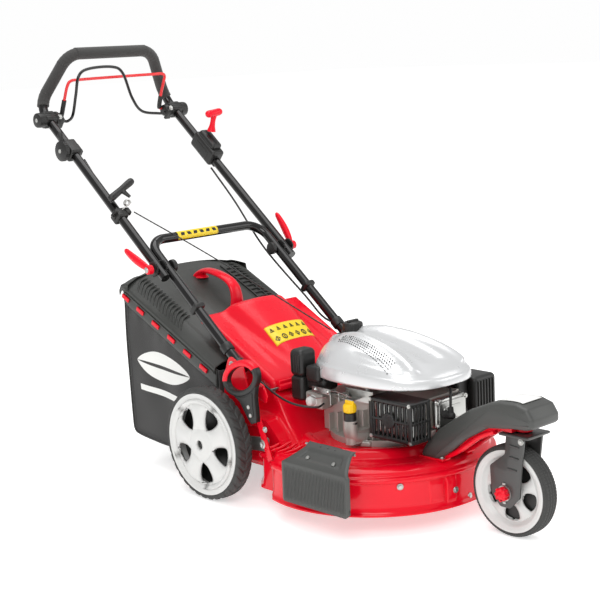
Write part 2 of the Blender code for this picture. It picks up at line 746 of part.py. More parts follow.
def make_front_boom():
    under = [(-0.735, 0.256), (-0.700, 0.254), (-0.630, 0.244), (-0.568, 0.208), (-0.530, 0.176), (-0.506, 0.1506)]
    cover = plate("caster_cover", "grey_plastic", arch_outline(0) + under, -0.050, 0.050)
    under_cut = [(-0.760, 0.20), (-0.60, 0.10), (-0.50, 0.10), (-0.462, 0.10)]
    inside = plate("cover_inside", "grey_plastic", arch_outline(WALL) + under_cut, -0.047, 0.047)
    cut(cover, inside)

    arm_outline = [
        (-0.472, 0.1506), (-0.484, 0.194), (-0.510, 0.216), (-0.585, 0.262), (-0.645, 0.286),
        (-0.672, 0.288), (-0.672, 0.2425), (-0.648, 0.2425), (-0.622, 0.230), (-0.572, 0.196),
        (-0.540, 0.168), (-0.503, 0.1506),
    ]
    arm = plate("caster_arm", "red_paint", arm_outline, -0.034, 0.034)
    arm_inside = plate("arm_inside", "red_paint", [
        (-0.476, 0.100), (-0.488, 0.192), (-0.512, 0.212), (-0.586, 0.258), (-0.660, 0.283),
        (-0.660, 0.10),
    ], -0.030, 0.030)
    cut(arm, arm_inside)
    bush = rod("swivel_bush", "red_paint", (0, SWIVEL_Y, 0.2425), (0, SWIVEL_Y, 0.2895), 0.019, sides=28)
    web = block("bush_web", "red_paint", (-0.034, -0.690, 0.2425), (0.034, -0.655, 0.288))
    join(arm, web, bush)
    cut(arm, rod("stem_hole", "red_paint", (0, SWIVEL_Y, 0.22), (0, SWIVEL_Y, 0.32), 0.0105, sides=24))


# ---- flaps ---------------------------------------------------------------------


def make_side_flap():
    pin_x, pin_z = SIDE_HINGE
    pin = rod("side_flap_pin", "steel", (pin_x, -0.424, pin_z), (pin_x, -0.268, pin_z), 0.003, sides=16)
    for y in (-0.392, -0.318):
        lug = block(
            f"pin_lug_{y}", "steel", (pin_x, y, 0.1503), (pin_x + 0.008, y + 0.012, pin_z + 0.002)
        )
        join(pin, lug)
    section = [(-0.2480, 0.199), (-0.262, 0.181), (-0.281, 0.160), (-0.2945, 0.148), (-0.2965, 0.066)]
    ends = (-0.452, -0.238)
    grid = [[(x, ends[0], z) for x, z in section], [(x, ends[1], z) for x, z in section]]
    flap = shell("side_flap", "grey_plastic", grid, WALL)
    barrel = rod("flap_barrel", "grey_plastic", (pin_x, -0.378, pin_z), (pin_x, -0.320, pin_z), 0.0075, sides=16)
    barrel_hole = rod("barrel_hole", "grey_plastic", (pin_x, -0.46, pin_z), (pin_x, -0.23, pin_z), 0.0036, sides=16)
    join(flap, barrel)
    cut(flap, barrel_hole)
    attach(pivot("side_flap_axis", (pin_x, -0.345, pin_z)), flap)


def slope_point(x, along, lift=0.0):
    """A point on the rear cover's plane, measured up the slope from its hinge."""
    y = REAR_HINGE[0] + along * math.cos(SLOPE) - lift * math.sin(SLOPE)
    z = REAR_HINGE[1] + along * math.sin(SLOPE) + lift * math.cos(SLOPE)
    return (x, y, z)


def make_rear_cover():
    half = 0.163
    pin = rod(
        "rear_cover_pin", "steel", (-0.175, *REAR_HINGE), (0.175, *REAR_HINGE), 0.003, sides=16
    )
    for side in (-1, 1):
        x = side * 0.164
        lug = block(
            f"cover_lug_{side}", "steel", (x - 0.002, REAR_HINGE[0] - 0.003, 0.2685),
            (x + 0.002, REAR_HINGE[0] + 0.003, REAR_HINGE[1]),
        )
        join(pin, lug)
    cross = ((-half, -0.006), (-half + 0.004, 0.010), (-0.055, 0.013), (-0.030, 0.034), (0.030, 0.034),
             (0.055, 0.013), (half - 0.004, 0.010), (half, -0.006))
    grid = []
    for along, ridge in ((0.010, 0.30), (0.080, 0.45), (0.170, 0.75), (0.262, 1.0), (0.292, 0.9)):
        row = []
        for x, lift in cross:
            raised = lift if lift <= 0.013 else 0.013 + (lift - 0.013) * ridge
            row.append(slope_point(x, along, raised))
        grid.append(row)
    cover = shell("rear_cover", "red_plastic", grid, WALL)
    barrel = rod("cover_barrel", "red_plastic", (-0.150, *REAR_HINGE), (0.150, *REAR_HINGE), 0.008, sides=16)
    web = block(
        "cover_web", "red_plastic", (-0.150, REAR_HINGE[0] - 0.002, REAR_HINGE[1] + 0.003),
        (0.150, REAR_HINGE[0] + 0.010, REAR_HINGE[1] + 0.0155),
    )
    hole = rod("cover_hole", "red_plastic", (-0.2, *REAR_HINGE), (0.2, *REAR_HINGE), 0.0036, sides=16)
    join(cover, web, barrel)
    cut(cover, hole)
    attach(pivot("rear_cover_axis", (0, *REAR_HINGE)), cover)


# ---- grass bag -------------------------------------------------------------------


def lid_edge_z(y):
    return LID_EDGE[1] + LID_RISE * (y - LID_EDGE[0])


def bag_outline(inset):
    cut_end = CUT_MARGIN if inset else 0
    return [
        (0.084 - cut_end, lid_edge_z(0.084) - 0.004 + cut_end),
        (0.455 - inset, lid_edge_z(0.455) - 0.004 + cut_end),
        (0.462 - inset, 0.300),
        (0.455 - inset, 0.085 + inset),
        (0.300, 0.072 + inset),
        (0.235, 0.085 + inset),
        (0.165, 0.172 + inset),
        (0.084 - cut_end, 0.196 + inset),
    ]


def make_bag():
    bag = plate("grass_bag", "fabric", bag_outline(0), -BAG_HALF, BAG_HALF)
    inside = plate("bag_inside", "fabric", bag_outline(WALL), WALL - BAG_HALF, BAG_HALF - WALL)
    cut(bag, inside)
    grid = []
    for y, crown, drop in (
        (0.092, 0.028, 0.0), (0.170, 0.034, 0.0), (0.260, 0.036, 0.0), (0.350, 0.037, 0.0), (0.420, 0.036, 0.0),
        (0.468, 0.028, 0.0), (0.492, 0.012, 0.004), (0.500, -0.012, 0.016),
    ):
        row = []
        for k in range(13):
            across = k / 6 - 1
            swell = 1 - abs(across) ** 3
            bulge = 0.0 if y < 0.455 else -0.030 * across**2
            x = LID_HALF * across
            z = lid_edge_z(min(y, 0.462)) - drop + crown * swell
            row.append((x, y + bulge, z))
        skirt_drop = 0.016
        first, last = row[0], row[-1]
        row.insert(0, (first[0] - 0.001, first[1], first[2] - skirt_drop))
        row.append((last[0] + 0.001, last[1], last[2] - skirt_drop))
        grid.append(row)
    lid = shell("bag_lid", "grey_plastic", grid, WALL)
    carry = tube(
        "bag_handle", "red_plastic",
        rounded_path([(0, 0.372, 0.4845), (0, 0.355, 0.502), (0, 0.245, 0.4765), (0, 0.236, 0.421)], 0.018, 4),
        0.009, resolution=2,
    )
    attach(pivot("bag_slide", (0, 0.084, 0.30)), bag, lid, carry)


# ---- handle ----------------------------------------------------------------------


def make_lower_handle():
    top = handle_point(0, CROSSBAR_Y)
    base = handle_point(0, 0.000)
    path = rounded_path(
        [(-LEG_X, base.y, base.z), (-LEG_X, top.y, top.z), (LEG_X, top.y, top.z), (LEG_X, base.y, base.z)],
        0.050,
    )
    tube("lower_handle", "black_paint", path, TUBE_RADIUS, resolution=3)
    for side, word in ((-1, "right"), (1, "left")):
        x = side * (CHUTE_HALF + GAP)
        low_x, high_x = sorted((x, x + side * 0.004))
        outline = rounded_outline([(-0.060, 0.186), (0.060, 0.190), (0.052, 0.300), (0.030, 0.352), (-0.020, 0.330)], 0.012)
        bracket = plate(f"handle_bracket_{word}", "red_paint", outline, low_x, high_x)
        start = handle_point(side * (LEG_X + TUBE_RADIUS + GAP), 0.020)
        stub = rod(f"bracket_stub_{word}", "red_paint", start, (side * 0.207, start.y, start.z), 0.007, sides=16)
        join(bracket, stub)


def tube_collar(name, finish, side, y, half_x, length, low, high, radius):
    """A block clamped round the upper handle's tube, in line with it."""
    obj = block(name, finish, (-half_x, -length / 2, low), (half_x, length / 2, high))
    place = Matrix.Translation(handle_point(side * UPPER_X, y)) @ Matrix.Rotation(HANDLE_ANGLE, 4, "X")
    bpy.context.view_layer.update()
    obj.matrix_world = place @ obj.matrix_world
    soften(obj, 0.006)
    hole = rod(
        f"{name}_hole", finish, handle_point(side * UPPER_X, y - length), handle_point(side * UPPER_X, y + length),
        radius + GAP, sides=20,
    )
    return cut(obj, hole)


def make_upper_handle():
    right = [handle_point(-UPPER_X, CLAMP_Y - 0.028), handle_point(-UPPER_X, GRIP_BEND_Y), (-GRIP_HALF, *GRIP_BAR)]
    left = [(-x, y, z) for x, y, z in reversed(right)]
    path = rounded_path(right + left, GRIP_BEND_RADIUS, 5)
    handle = tube("upper_handle", "black_paint", path, TUBE_RADIUS, resolution=3)

    foam_path = [p for p in path if p.z > 0.945]
    foam = tube("foam_grip", "foam", foam_path, FOAM_RADIUS)
    core = tube("foam_core", "foam", path, TUBE_RADIUS + 2 * GAP, resolution=3)
    cut(foam, core)

    moving = [handle, foam]
    for side, word in ((-1, "right"), (1, "left")):
        barrel = rod(
            f"bail_bracket_{word}", "black_plastic",
            (side * BRACKET_INNER_X, *BRACKET_PLACE), (side * 0.254, *BRACKET_PLACE), 0.021, sides=28,
        )
        hole = rod(
            f"bracket_hole_{word}", "black_plastic", handle_point(side * UPPER_X, 0.65),
            handle_point(side * UPPER_X, 0.762), TUBE_RADIUS + 0.0008, sides=20,
        )
        moving.append(cut(barrel, hole))

    throttle_box = tube_collar("throttle_box", "black_plastic", -1, 0.630, 0.0175, 0.050, -0.020, 0.020, TUBE_RADIUS)
    speed_box = tube_collar("speed_box", "black_plastic", 1, 0.590, 0.022, 0.100, -0.018, 0.048, TUBE_RADIUS)
    rope_guide = tube_collar("rope_guide", "black_plastic", -1, 0.430, 0.0175, 0.030, -0.018, 0.020, TUBE_RADIUS)
    moving += [throttle_box, speed_box, rope_guide]

    disc_place = handle_point(-UPPER_X - 0.0178, 0.630)
    throttle = rod("throttle_lever", "black_plastic", disc_place, disc_place - Vector((0.018, 0, 0)), 0.027, sides=28)
    knob_tip = disc_place + Vector((-0.009, 0.008, 0.052))
    knob = rod("throttle_knob", "black_plastic", disc_place + Vector((-0.009, 0, 0.01)), knob_tip, 0.007, sides=14)
    join(throttle, knob)
    attach(pivot("throttle_axis", disc_place), throttle)

    speed_axis = handle_point(UPPER_X, 0.600, 0.0560)
    stem_base = speed_axis + Vector((0, -0.001, 0.0008))
    stem_top = stem_base + Vector((0.004, -0.012, 0.050))
    speed = rod("speed_lever", "red_plastic", stem_base, stem_top, 0.008, sides=16, end_radius=0.006)
    head = rod("speed_head", "red_plastic", stem_top - Vector((0.028, 0, 0.002)), stem_top + Vector((0.028, 0, 0.004)),
               0.009, sides=16)
    join(speed, head)
    attach(pivot("speed_axis", speed_axis), speed)

    grip_place = handle_point(-0.196, 0.470, 0.042)
    lean = Vector((0.87, 0, 0.49)) * 0.046
    starter = rod("starter_grip", "black_plastic", grip_place - lean, grip_place + lean, 0.009, sides=16)
    neck = rod("starter_neck", "black_plastic", grip_place, grip_place + Vector((0.012, -0.020, -0.0185)), 0.007, sides=14)
    join(starter, neck)
    attach(pivot("starter_axis", grip_place), starter)

    end_x = BRACKET_INNER_X - GAP
    stop = rounded_path(
        [(-end_x, *STOP_PIVOT.yz), (-0.166, *STOP_PIVOT.yz), (-0.166, 0.718, 0.965), (-0.157, 0.700, 1.014),
         (0.160, 0.700, 1.018), (0.170, 0.704, 1.010), (0.166, 0.718, 0.970), (0.166, *STOP_PIVOT.yz),
         (end_x, *STOP_PIVOT.yz)], 0.004, 2,
    )
    stop_bail = tube("stop_bail", "red_paint", stop, 0.0032, resolution=1)
    drive = smooth_route(
        [(-end_x, *DRIVE_PIVOT.yz), (-0.158, *DRIVE_PIVOT.yz), (-0.157, 0.696, 0.922), (-0.157, 0.675, 0.975),
         (-0.150, 0.665, 1.025), (-0.117, 0.665, 1.043), (-0.040, 0.664, 1.045), (-0.003, 0.667, 1.026),
         (0.040, 0.690, 0.957), (0.085, 0.709, 0.917), (0.150, *DRIVE_PIVOT.yz), (end_x, *DRIVE_PIVOT.yz)], 0.024,
    )
    drive_bail = tube("drive_bail", "black_paint", drive, 0.0040, resolution=1)
    attach(pivot("stop_bail_axis", STOP_PIVOT), stop_bail)
    attach(pivot("drive_bail_axis", DRIVE_PIVOT), drive_bail)

    fold = pivot("fold_axis", handle_point(0, CLAMP_Y))
    attach(fold, *moving)
    attach(fold, *[bpy.data.objects[name] for name in
                   ("throttle_axis", "speed_axis", "starter_axis", "stop_bail_axis", "drive_bail_axis")])


def make_cam_levers():
    for side, word, rise in ((-1, "right", 25), (1, "left", 54)):
        centre = handle_point(side * 0.243, CLAMP_Y)
        direction = Vector((0, math.cos(math.radians(rise)), math.sin(math.radians(rise))))
        lever = rod(
            f"cam_lever_{word}", "red_plastic", centre, centre + direction * 0.105, 0.0095, sides=16, end_radius=0.0065
        )
        bolt = rod(
            f"clamp_bolt_{word}", "steel", handle_point(side * 0.2294, CLAMP_Y), centre + Vector((side * 0.006, 0, 0)),
            0.006, sides=16,
        )
        join(lever, bolt)
        attach(pivot(f"cam_axis_{word}", centre), lever)


# ---- cables and rope ---------------------------------------------------------------


def make_cables():
    rope = smooth_route([(-0.184, 0.410, 0.676), (-0.100, 0.194, 0.560), (0.010, -0.100, 0.392)], 0.03)
    tube("starter_rope", "black_plastic", rope, 0.0017, resolution=1)
    throttle = [handle_point(-0.193, 0.602, -0.004), handle_point(-0.194, 0.500, -0.016),
                handle_point(-0.196, 0.380, -0.020), handle_point(-0.1725, 0.200, -0.012),
                (-0.1715, 0.050, 0.350), (-0.1720, -0.020, 0.300), (-0.184, -0.105, 0.270),
                (-0.185, -0.170, 0.256), (-0.158, -0.215, 0.250), (-0.130, -0.212, 0.252)]
    tube("throttle_cable", "black_plastic", smooth_route(throttle, 0.035), 0.0025, resolution=1)
    drive = [handle_point(0.193, 0.540, -0.010), handle_point(0.194, 0.440, -0.020),
             handle_point(0.172, 0.300, -0.022), handle_point(0.172, 0.150, -0.014),
             handle_point(0.189, 0.095, -0.026), (0.2160, 0.060, 0.335), (0.2180, 0.030, 0.260),
             (0.2180, 0.020, 0.190)]
    tube("drive_cable", "black_plastic", smooth_route(drive, 0.035), 0.0025, resolution=1)


make_deck()
make_engine()
make_engine_cover()
make_spindle()
make_drive()
make_rear_axle()
for side in (-1, 1):
    make_rear_wheel(side, REAR_OUTER_X)
make_caster()
make_front_boom()
make_side_flap()
make_rear_cover()
make_bag()
make_lower_handle()
make_upper_handle()
make_cam_levers()
make_cables()
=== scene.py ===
import json
import math
import bmesh
import bpy
import numpy as np
from mathutils import Matrix, Vector


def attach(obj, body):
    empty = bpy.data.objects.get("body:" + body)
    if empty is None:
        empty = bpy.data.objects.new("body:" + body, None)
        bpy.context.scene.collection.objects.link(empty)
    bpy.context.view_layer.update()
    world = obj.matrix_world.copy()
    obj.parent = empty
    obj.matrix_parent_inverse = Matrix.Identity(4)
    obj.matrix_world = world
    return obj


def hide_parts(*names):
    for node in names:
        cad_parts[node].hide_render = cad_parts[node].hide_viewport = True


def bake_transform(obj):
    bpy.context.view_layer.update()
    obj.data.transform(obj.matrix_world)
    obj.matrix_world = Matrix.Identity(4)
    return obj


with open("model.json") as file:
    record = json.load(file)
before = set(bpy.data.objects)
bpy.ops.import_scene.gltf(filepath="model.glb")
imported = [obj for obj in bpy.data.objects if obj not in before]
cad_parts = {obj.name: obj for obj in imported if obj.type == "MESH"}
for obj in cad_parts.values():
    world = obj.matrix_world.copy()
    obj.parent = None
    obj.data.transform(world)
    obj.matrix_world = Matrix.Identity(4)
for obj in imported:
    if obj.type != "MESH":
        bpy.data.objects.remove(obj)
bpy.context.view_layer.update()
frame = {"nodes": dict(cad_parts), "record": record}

scene = bpy.context.scene
pi = math.pi

# The few sizes that the whole machine hangs on, in metres
mower = {
    "bladeY": -0.255,
    "rearAxle": (0.062, 0.1393),
    "casterAxle": (-0.668, 0.1035), "swivelY": -0.698,
    "legBase": (0.029, 0.337), "handleRise": 0.825, "tube": 0.0125, "legX": 0.189, "upperX": 0.2155,
    "clampY": 0.28, "crossbarY": 0.353,
    "rearHinge": (-0.078, 0.274), "slope": math.radians(28),
    "lidEdge": (0.108, 0.318, 0.478),
}

# camera, floor and light: a studio with a pale floor
cameraSetup = {"place": (-2.322, -2.518, 1.08), "azimuth": -42.75, "pitch": 10.31, "roll": -2.67, "lens": 84.0}
lightSetup = {"world": 0.6, "backdrop": 1.0, "key": 95, "fill": 34, "top": 70, "floor": "f4f4f3", "floorGlow": 0.5}


def makeCamera(c):
    # stands at its place and looks back along the direction given by azimuth and pitch, then rolls about it
    az, pitch, roll = (math.radians(c[k]) for k in ("azimuth", "pitch", "roll"))
    back = Vector((math.sin(az) * math.cos(pitch), -math.cos(az) * math.cos(pitch), math.sin(pitch)))
    right = (-back).cross(Vector((0, 0, 1))).normalized()
    up = right.cross(-back)
    turnedRight = right * math.cos(roll) + up * math.sin(roll)
    turnedUp = up * math.cos(roll) - right * math.sin(roll)
    data = bpy.data.cameras.new("camera")
    data.lens = c["lens"]
    data.sensor_width = 36
    camera = bpy.data.objects.new("camera", data)
    axes = Matrix((turnedRight, turnedUp, back)).transposed()
    camera.matrix_world = Matrix.Translation(c["place"]) @ axes.to_4x4()
    scene.collection.objects.link(camera)
    scene.camera = camera


makeCamera(cameraSetup)
print("camera made")


# materials
def fromHex(text):
    # sRGB to linear, channel by channel
    srgb = np.array([int(text[i:i + 2], 16) / 255 for i in (0, 2, 4)])
    linear = np.where(srgb <= 0.04045, srgb / 12.92, ((srgb + 0.055) / 1.055) ** 2.4)
    return (*linear.tolist(), 1.0)


def addNode(tree, kind, values=(), links=(), **settings):
    # values: (socket, value) pairs; links: (socket, node, its output) triples
    made = tree.nodes.new("ShaderNode" + kind)
    for key, value in settings.items():
        setattr(made, key, value)
    for socket, value in values:
        made.inputs[socket].default_value = value
    for socket, other, output in links:
        tree.links.new(other.outputs[output], made.inputs[socket])
    return made


looks = {}


def makeLook(name, slot, hexColour, roughness, metallic=0.0, coat=0.0, sheen=0.0, ior=1.5,
             grain=None, scratch=0.0, mottle=0.06, roughSpread=0.05, specular=0.5, weave=None):
    # grain: (spacing in metres, bump height in metres); weave: thread spacing in metres
    material = bpy.data.materials.new(name)
    material.use_nodes = True
    tree = material.node_tree
    shader = tree.nodes["Principled BSDF"]
    base = fromHex(hexColour)
    shader.inputs["Metallic"].default_value = metallic
    shader.inputs["IOR"].default_value = ior if not metallic else 1.5
    shader.inputs["Specular IOR Level"].default_value = specular
    if coat:
        shader.inputs["Coat Weight"].default_value = coat
        shader.inputs["Coat Roughness"].default_value = 0.04
    if sheen:
        shader.inputs["Sheen Weight"].default_value = sheen
        shader.inputs["Sheen Roughness"].default_value = 0.6
    place = addNode(tree, "TexCoord")
    # slow, faint change of tone over a hand's width
    cloud = addNode(tree, "TexNoise", [("Scale", 14.0), ("Detail", 3.0)], [("Vector", place, "Object")])
    darker = [c * (1 - mottle * 2) for c in base[:3]] + [1.0]
    lighter = [min(1.0, c * (1 + mottle)) for c in base[:3]] + [1.0]
    tone = addNode(tree, "Mix", [(6, darker), (7, lighter)], [(0, cloud, "Fac")], data_type="RGBA")
    colour = tone
    colourOut = 2
    rough = addNode(
        tree, "MapRange", [("To Min", max(0.02, roughness - roughSpread)), ("To Max", roughness + roughSpread)],
        [("Value", cloud, "Fac")],
    )
    height = None
    if grain:
        spacing, depth = grain
        fine = addNode(tree, "TexNoise", [("Scale", 1 / spacing), ("Detail", 2.0)], [("Vector", place, "Object")])
        height = addNode(tree, "Bump", [("Strength", 0.6), ("Distance", depth)], [("Height", fine, "Fac")])
    if scratch:
        # long faint rub marks, stretched along the length
        stretched = addNode(tree, "Mapping", [("Scale", (60, 4, 60))], [("Vector", place, "Object")])
        marks = addNode(tree, "TexNoise", [("Scale", 12.0), ("Detail", 5.0)], [("Vector", stretched, "Vector")])
        height = addNode(tree, "Bump", [("Strength", scratch), ("Distance", 0.0002)], [("Height", marks, "Fac")])
    if weave:
        # two crossed sets of threads, drawn three times coarser than real so that they show
        across = addNode(tree, "Mapping", [("Scale", (1 / weave,) * 3), ("Rotation", (0.5, 0.5, 0.785))],
                         [("Vector", place, "Object")])
        warp = addNode(tree, "TexWave", [("Scale", 0.16), ("Distortion", 0.4)], [("Vector", across, "Vector")],
                       bands_direction="X")
        weft = addNode(tree, "TexWave", [("Scale", 0.16), ("Distortion", 0.4)], [("Vector", across, "Vector")],
                       bands_direction="Z")
        cloth = addNode(tree, "Math", [], [(0, warp, "Fac"), (1, weft, "Fac")], operation="MULTIPLY")
        height = addNode(tree, "Bump", [("Strength", 0.7), ("Distance", 0.0006)], [("Height", cloth, 0)])
        # the gaps between threads, where the bump sinks, are darkened to six tenths of the base: painted shade
        threadsWithGapShade = addNode(tree, "Mix", [(6, [c * 0.6 for c in base[:3]] + [1])], [(0, cloth, 0), (7, tone, 2)],
                          data_type="RGBA")
        colour = threadsWithGapShade
    tree.links.new(colour.outputs[colourOut], shader.inputs["Base Color"])
    tree.links.new(rough.outputs[0], shader.inputs["Roughness"])
    if height:
        tree.links.new(height.outputs[0], shader.inputs["Normal"])
    looks[name] = (material, slot)


# bright, wet-looking red with a clear skin, on pressed steel
makeLook("powderCoatedSteel", "red_paint", "e40722", 0.17, coat=0.22, specular=0.22, mottle=0.03,
         grain=(0.004, 0.0001))
# injection-moulded red ABS, a little softer in its shine
makeLook("mouldedRedAbs", "red_plastic", "e60a26", 0.28, coat=0.1, specular=0.25, mottle=0.03, grain=(0.002, 0.0001))
# black enamel on bent steel tube: dark with long sharp highlights
makeLook("blackEnamelTube", "black_paint", "0d0c0c", 0.17, coat=0.3, specular=0.35, mottle=0.05,
         grain=(0.005, 0.0001))
# glass-filled nylon: near black, satin, finely pitted
makeLook("blackNylon", "black_plastic", "1c1c1b", 0.42, grain=(0.0012, 0.00015), mottle=0.1)
# grained polypropylene: charcoal grey, broad soft highlights
makeLook("grainedPolypropylene", "grey_plastic", "454644", 0.42, grain=(0.0011, 0.0003), mottle=0.08)
# silver-painted shroud: bright, fine metallic flake under a clear coat
makeLook("silverPaintedAbs", "silver_plastic", "dbdcdd", 0.28, metallic=0.45, coat=0.25, grain=(0.0006, 0.00004),
         mottle=0.02)
# white nylon wheel centres: clean and slightly waxy
makeLook("whiteNylon", "white_plastic", "d3d3d1", 0.34, coat=0.15, grain=(0.003, 0.0001), mottle=0.02)
# tyre rubber: dull charcoal with dust in the grain
makeLook("tyreRubber", "tyre_rubber", "3b3b3a", 0.68, grain=(0.0014, 0.0003), mottle=0.14, roughSpread=0.1)
makeLook("softRubber", "rubber", "1d1c1c", 0.6, grain=(0.002, 0.0002), mottle=0.1)
# closed-cell foam sleeve: matt with open pores
makeLook("foamSleeve", "foam", "333231", 0.88, grain=(0.0016, 0.0006), mottle=0.12, sheen=0.15)
# woven polyester: black threads with a slight nap
makeLook("wovenPolyester", "fabric", "2c2b2a", 0.85, weave=0.0012, sheen=0.2, mottle=0.12)
# zinc-plated steel: bright grey with rub marks
makeLook("zincPlate", "steel", "b9b9b6", 0.3, metallic=1.0, scratch=0.3, mottle=0.06)
# sand-cast aluminium: warm grey, rough skin
makeLook("castAluminium", "cast_aluminium", "b7b3ad", 0.5, metallic=0.55, grain=(0.0022, 0.0006), mottle=0.1)
# dark heat-proof enamel on thin sheet
makeLook("heatProofEnamel", "black_paint", "161616", 0.4, grain=(0.0015, 0.0001), mottle=0.12)
makeLook("yellowVinyl", "yellow_plastic", "efd019", 0.35, coat=0.2, mottle=0.03, grain=(0.003, 0.00005))
makeLook("yellowNylon", "yellow_plastic", "f2c307", 0.4, mottle=0.04, grain=(0.002, 0.0001))
makeLook("whiteVinyl", "white_plastic", "eeeeec", 0.4, mottle=0.02, grain=(0.003, 0.00005))
makeLook("blackInk", "black_plastic", "171717", 0.45, mottle=0.05, grain=(0.003, 0.00005))
# near black, used only as painted shade where vent holes and the gear slot open
makeLook("paintedOpeningShade", "black_plastic", "0b0b0b", 0.8, mottle=0.1, grain=(0.002, 0.0001))
print("looks made:", len(looks))


# shapes: each is (points, faces)
def gridShape(points, closeU=False, closeV=False, keep=None):
    # faces between neighbouring points of a rows-by-columns grid; keep masks faces
    rows, columns = points.shape[:2]
    u = np.arange(rows if closeU else rows - 1)[:, None]
    v = np.arange(columns if closeV else columns - 1)[None, :]
    u1, v1 = (u + 1) % rows, (v + 1) % columns
    faces = np.stack([u * columns + v, u * columns + v1, u1 * columns + v1, u1 * columns + v], -1)
    if keep is not None:
        faces = faces[keep]
    return points.reshape(-1, 3), faces.reshape(-1, 4).tolist()


def together(*shapes):
    # several shapes as one: later faces count on from the points before them
    points, faces, start = [], [], 0
    for somePoints, someFaces in shapes:
        points.append(np.asarray(somePoints, float).reshape(-1, 3))
        faces += [[i + start for i in face] for face in someFaces]
        start += len(points[-1])
    return np.concatenate(points), faces


def unit(v):
    v = np.asarray(v, float)
    return v / np.maximum(np.linalg.norm(v, axis=-1, keepdims=True), 1e-9)


def smoothPath(points, count):
    # a smooth curve through the points (Catmull-Rom), read at even steps of its parameter
    p = np.asarray(points, float)
    p = np.concatenate([2 * p[:1] - p[1:2], p, 2 * p[-1:] - p[-2:-1]])
    t = np.linspace(0, len(p) - 3 - 1e-9, count)
    i = t.astype(int)
    f = (t - i)[:, None]
    a, b, c, d = p[i], p[i + 1], p[i + 2], p[i + 3]
    return 0.5 * (2 * b + (c - a) * f + (2 * a - 5 * b + 4 * c - d) * f**2 + (3 * b - a - 3 * c + d) * f**3)


def bentPath(points, radius, steps=10):
    # straight runs with an arc of the given radius at each inner point
    p = np.asarray(points, float)
    path = [p[:1]]
    for before, corner, after in zip(p[:-2], p[1:-1], p[2:]):
        a, b = unit(before - corner), unit(after - corner)
        half = math.acos(np.clip(a @ b, -1, 1)) / 2
        reach = radius / math.tan(half)
        centre = corner + unit(a + b) * radius / math.sin(half)
        first, last = corner + a * reach - centre, corner + b * reach - centre
        turn = pi - 2 * half
        t = np.linspace(0, 1, steps)[:, None]
        arc = (np.sin((1 - t) * turn) * first + np.sin(t * turn) * last) / math.sin(turn)
        path.append(centre + arc)
    path.append(p[-1:])
    return np.concatenate(path)


def tubeShape(path, radius, sides=16, side=(1, 0, 0), flat=1.0, capped=True):
    # rings square to the path; side is roughly across it; flat squeezes the ring
    path = np.asarray(path, float)
    tangent = unit(np.gradient(path, axis=0))
    normal = unit(np.cross(tangent, np.asarray(side, float)[None]))
    binormal = np.cross(tangent, normal)
    turn = np.arange(sides) * 2 * pi / sides
    radius = np.broadcast_to(np.asarray(radius, float), len(path))[:, None, None]
    ring = np.cos(turn)[None, :, None] * normal[:, None] * flat + np.sin(turn)[None, :, None] * binormal[:, None]
    points, faces = gridShape(path[:, None] + radius * ring, closeV=True)
    if capped:
        faces += [list(range(sides))[::-1], list(range((len(path) - 1) * sides, len(path) * sides))]
    return points, faces


def latheShape(profile, centre, axis="Z", segments=96, closed=False, shape=None):
    # profile (radius, height) carried round the axis; shape may move the finished points
    profile = np.asarray(profile, float)
    turn = np.arange(segments) * 2 * pi / segments
    r, h = profile[:, 0][:, None], profile[:, 1][:, None]
    a, b = r * np.cos(turn), r * np.sin(turn)
    h = np.broadcast_to(h, a.shape)
    order = {"Z": (a, b, h), "X": (h, a, b), "Y": (b, h, a)}[axis]
    points = np.stack(order, -1) + np.asarray(centre, float)
    if shape:
        points = shape(points)
    return gridShape(points, closeU=closed, closeV=True)


def boxShape(low, high, radius=0.002, steps=3):
    # a box whose every point is pushed out from an inner box by the edge radius
    low, high = np.asarray(low, float), np.asarray(high, float)
    radius = min(radius, 0.499 * (high - low).min())
    inner = (low + radius, high - radius)
    edge = np.tan(np.linspace(-pi / 4, 0, steps + 1))
    shapes = []
    for axis in range(3):
        others = [k for k in range(3) if k != axis]
        for end in (0, 1):
            lines = []
            for k in others:
                lines.append(np.concatenate([inner[0][k] + radius * edge, inner[1][k] - radius * edge[::-1]]))
            u, v = np.meshgrid(*lines, indexing="ij")
            p = np.zeros(u.shape + (3,))
            p[..., others[0]], p[..., others[1]] = u, v
            p[..., axis] = (low, high)[end][axis]
            core = np.clip(p, *inner)
            p = core + radius * unit(p - core)
            shapes.append(gridShape(p))
    return together(*shapes)


def slabShape(outline, low, high, bevel=0.0015, plane="yz"):
    # an outline given thickness along the third axis, with its rims rounded in three steps
    outline = np.asarray(outline, float)
    before, after = np.roll(outline, 1, 0), np.roll(outline, -1, 0)
    edge = unit(after - before)
    outward = np.stack([edge[:, 1], -edge[:, 0]], -1)
    area = 0.5 * np.sum(outline[:, 0] * after[:, 1] - after[:, 0] * outline[:, 1])
    outward *= np.sign(area)
    t = np.linspace(0, pi / 2, 4)
    insets = np.concatenate([bevel * (1 - np.sin(t)), bevel * (1 - np.sin(t[::-1]))])
    levels = np.concatenate([low + bevel * (1 - np.cos(t)), high - bevel * (1 - np.cos(t[::-1]))])
    flat = outline[None] - outward[None] * insets[:, None, None]
    third = np.broadcast_to(levels[:, None], flat.shape[:2])
    a, b = flat[..., 0], flat[..., 1]
    points = np.stack({"yz": (third, a, b), "xy": (a, b, third), "xz": (a, third, b)}[plane], -1)
    made, faces = gridShape(points, closeV=True)
    n = len(outline)
    faces += [list(range(n))[::-1], list(range(7 * n, 8 * n))]
    return made, faces


def roundedOutline(points, radius, steps=4):
    # a closed flat outline with every corner turned into an arc; it starts midway along an edge
    p = np.asarray(points, float)
    flat = np.concatenate([p, np.zeros((len(p), 1))], 1)
    middle = (flat[:1] + flat[-1:]) / 2
    return bentPath(np.concatenate([middle, flat, middle]), radius, steps)[1:-1, :2]


def moved(shape, turn=None, by=(0, 0, 0)):
    # the turn first, then the shift
    points, faces = shape
    points = np.asarray(points, float)
    if turn is not None:
        points = points @ np.array(turn.to_3x3()).T
    return points + np.asarray(by, float), faces


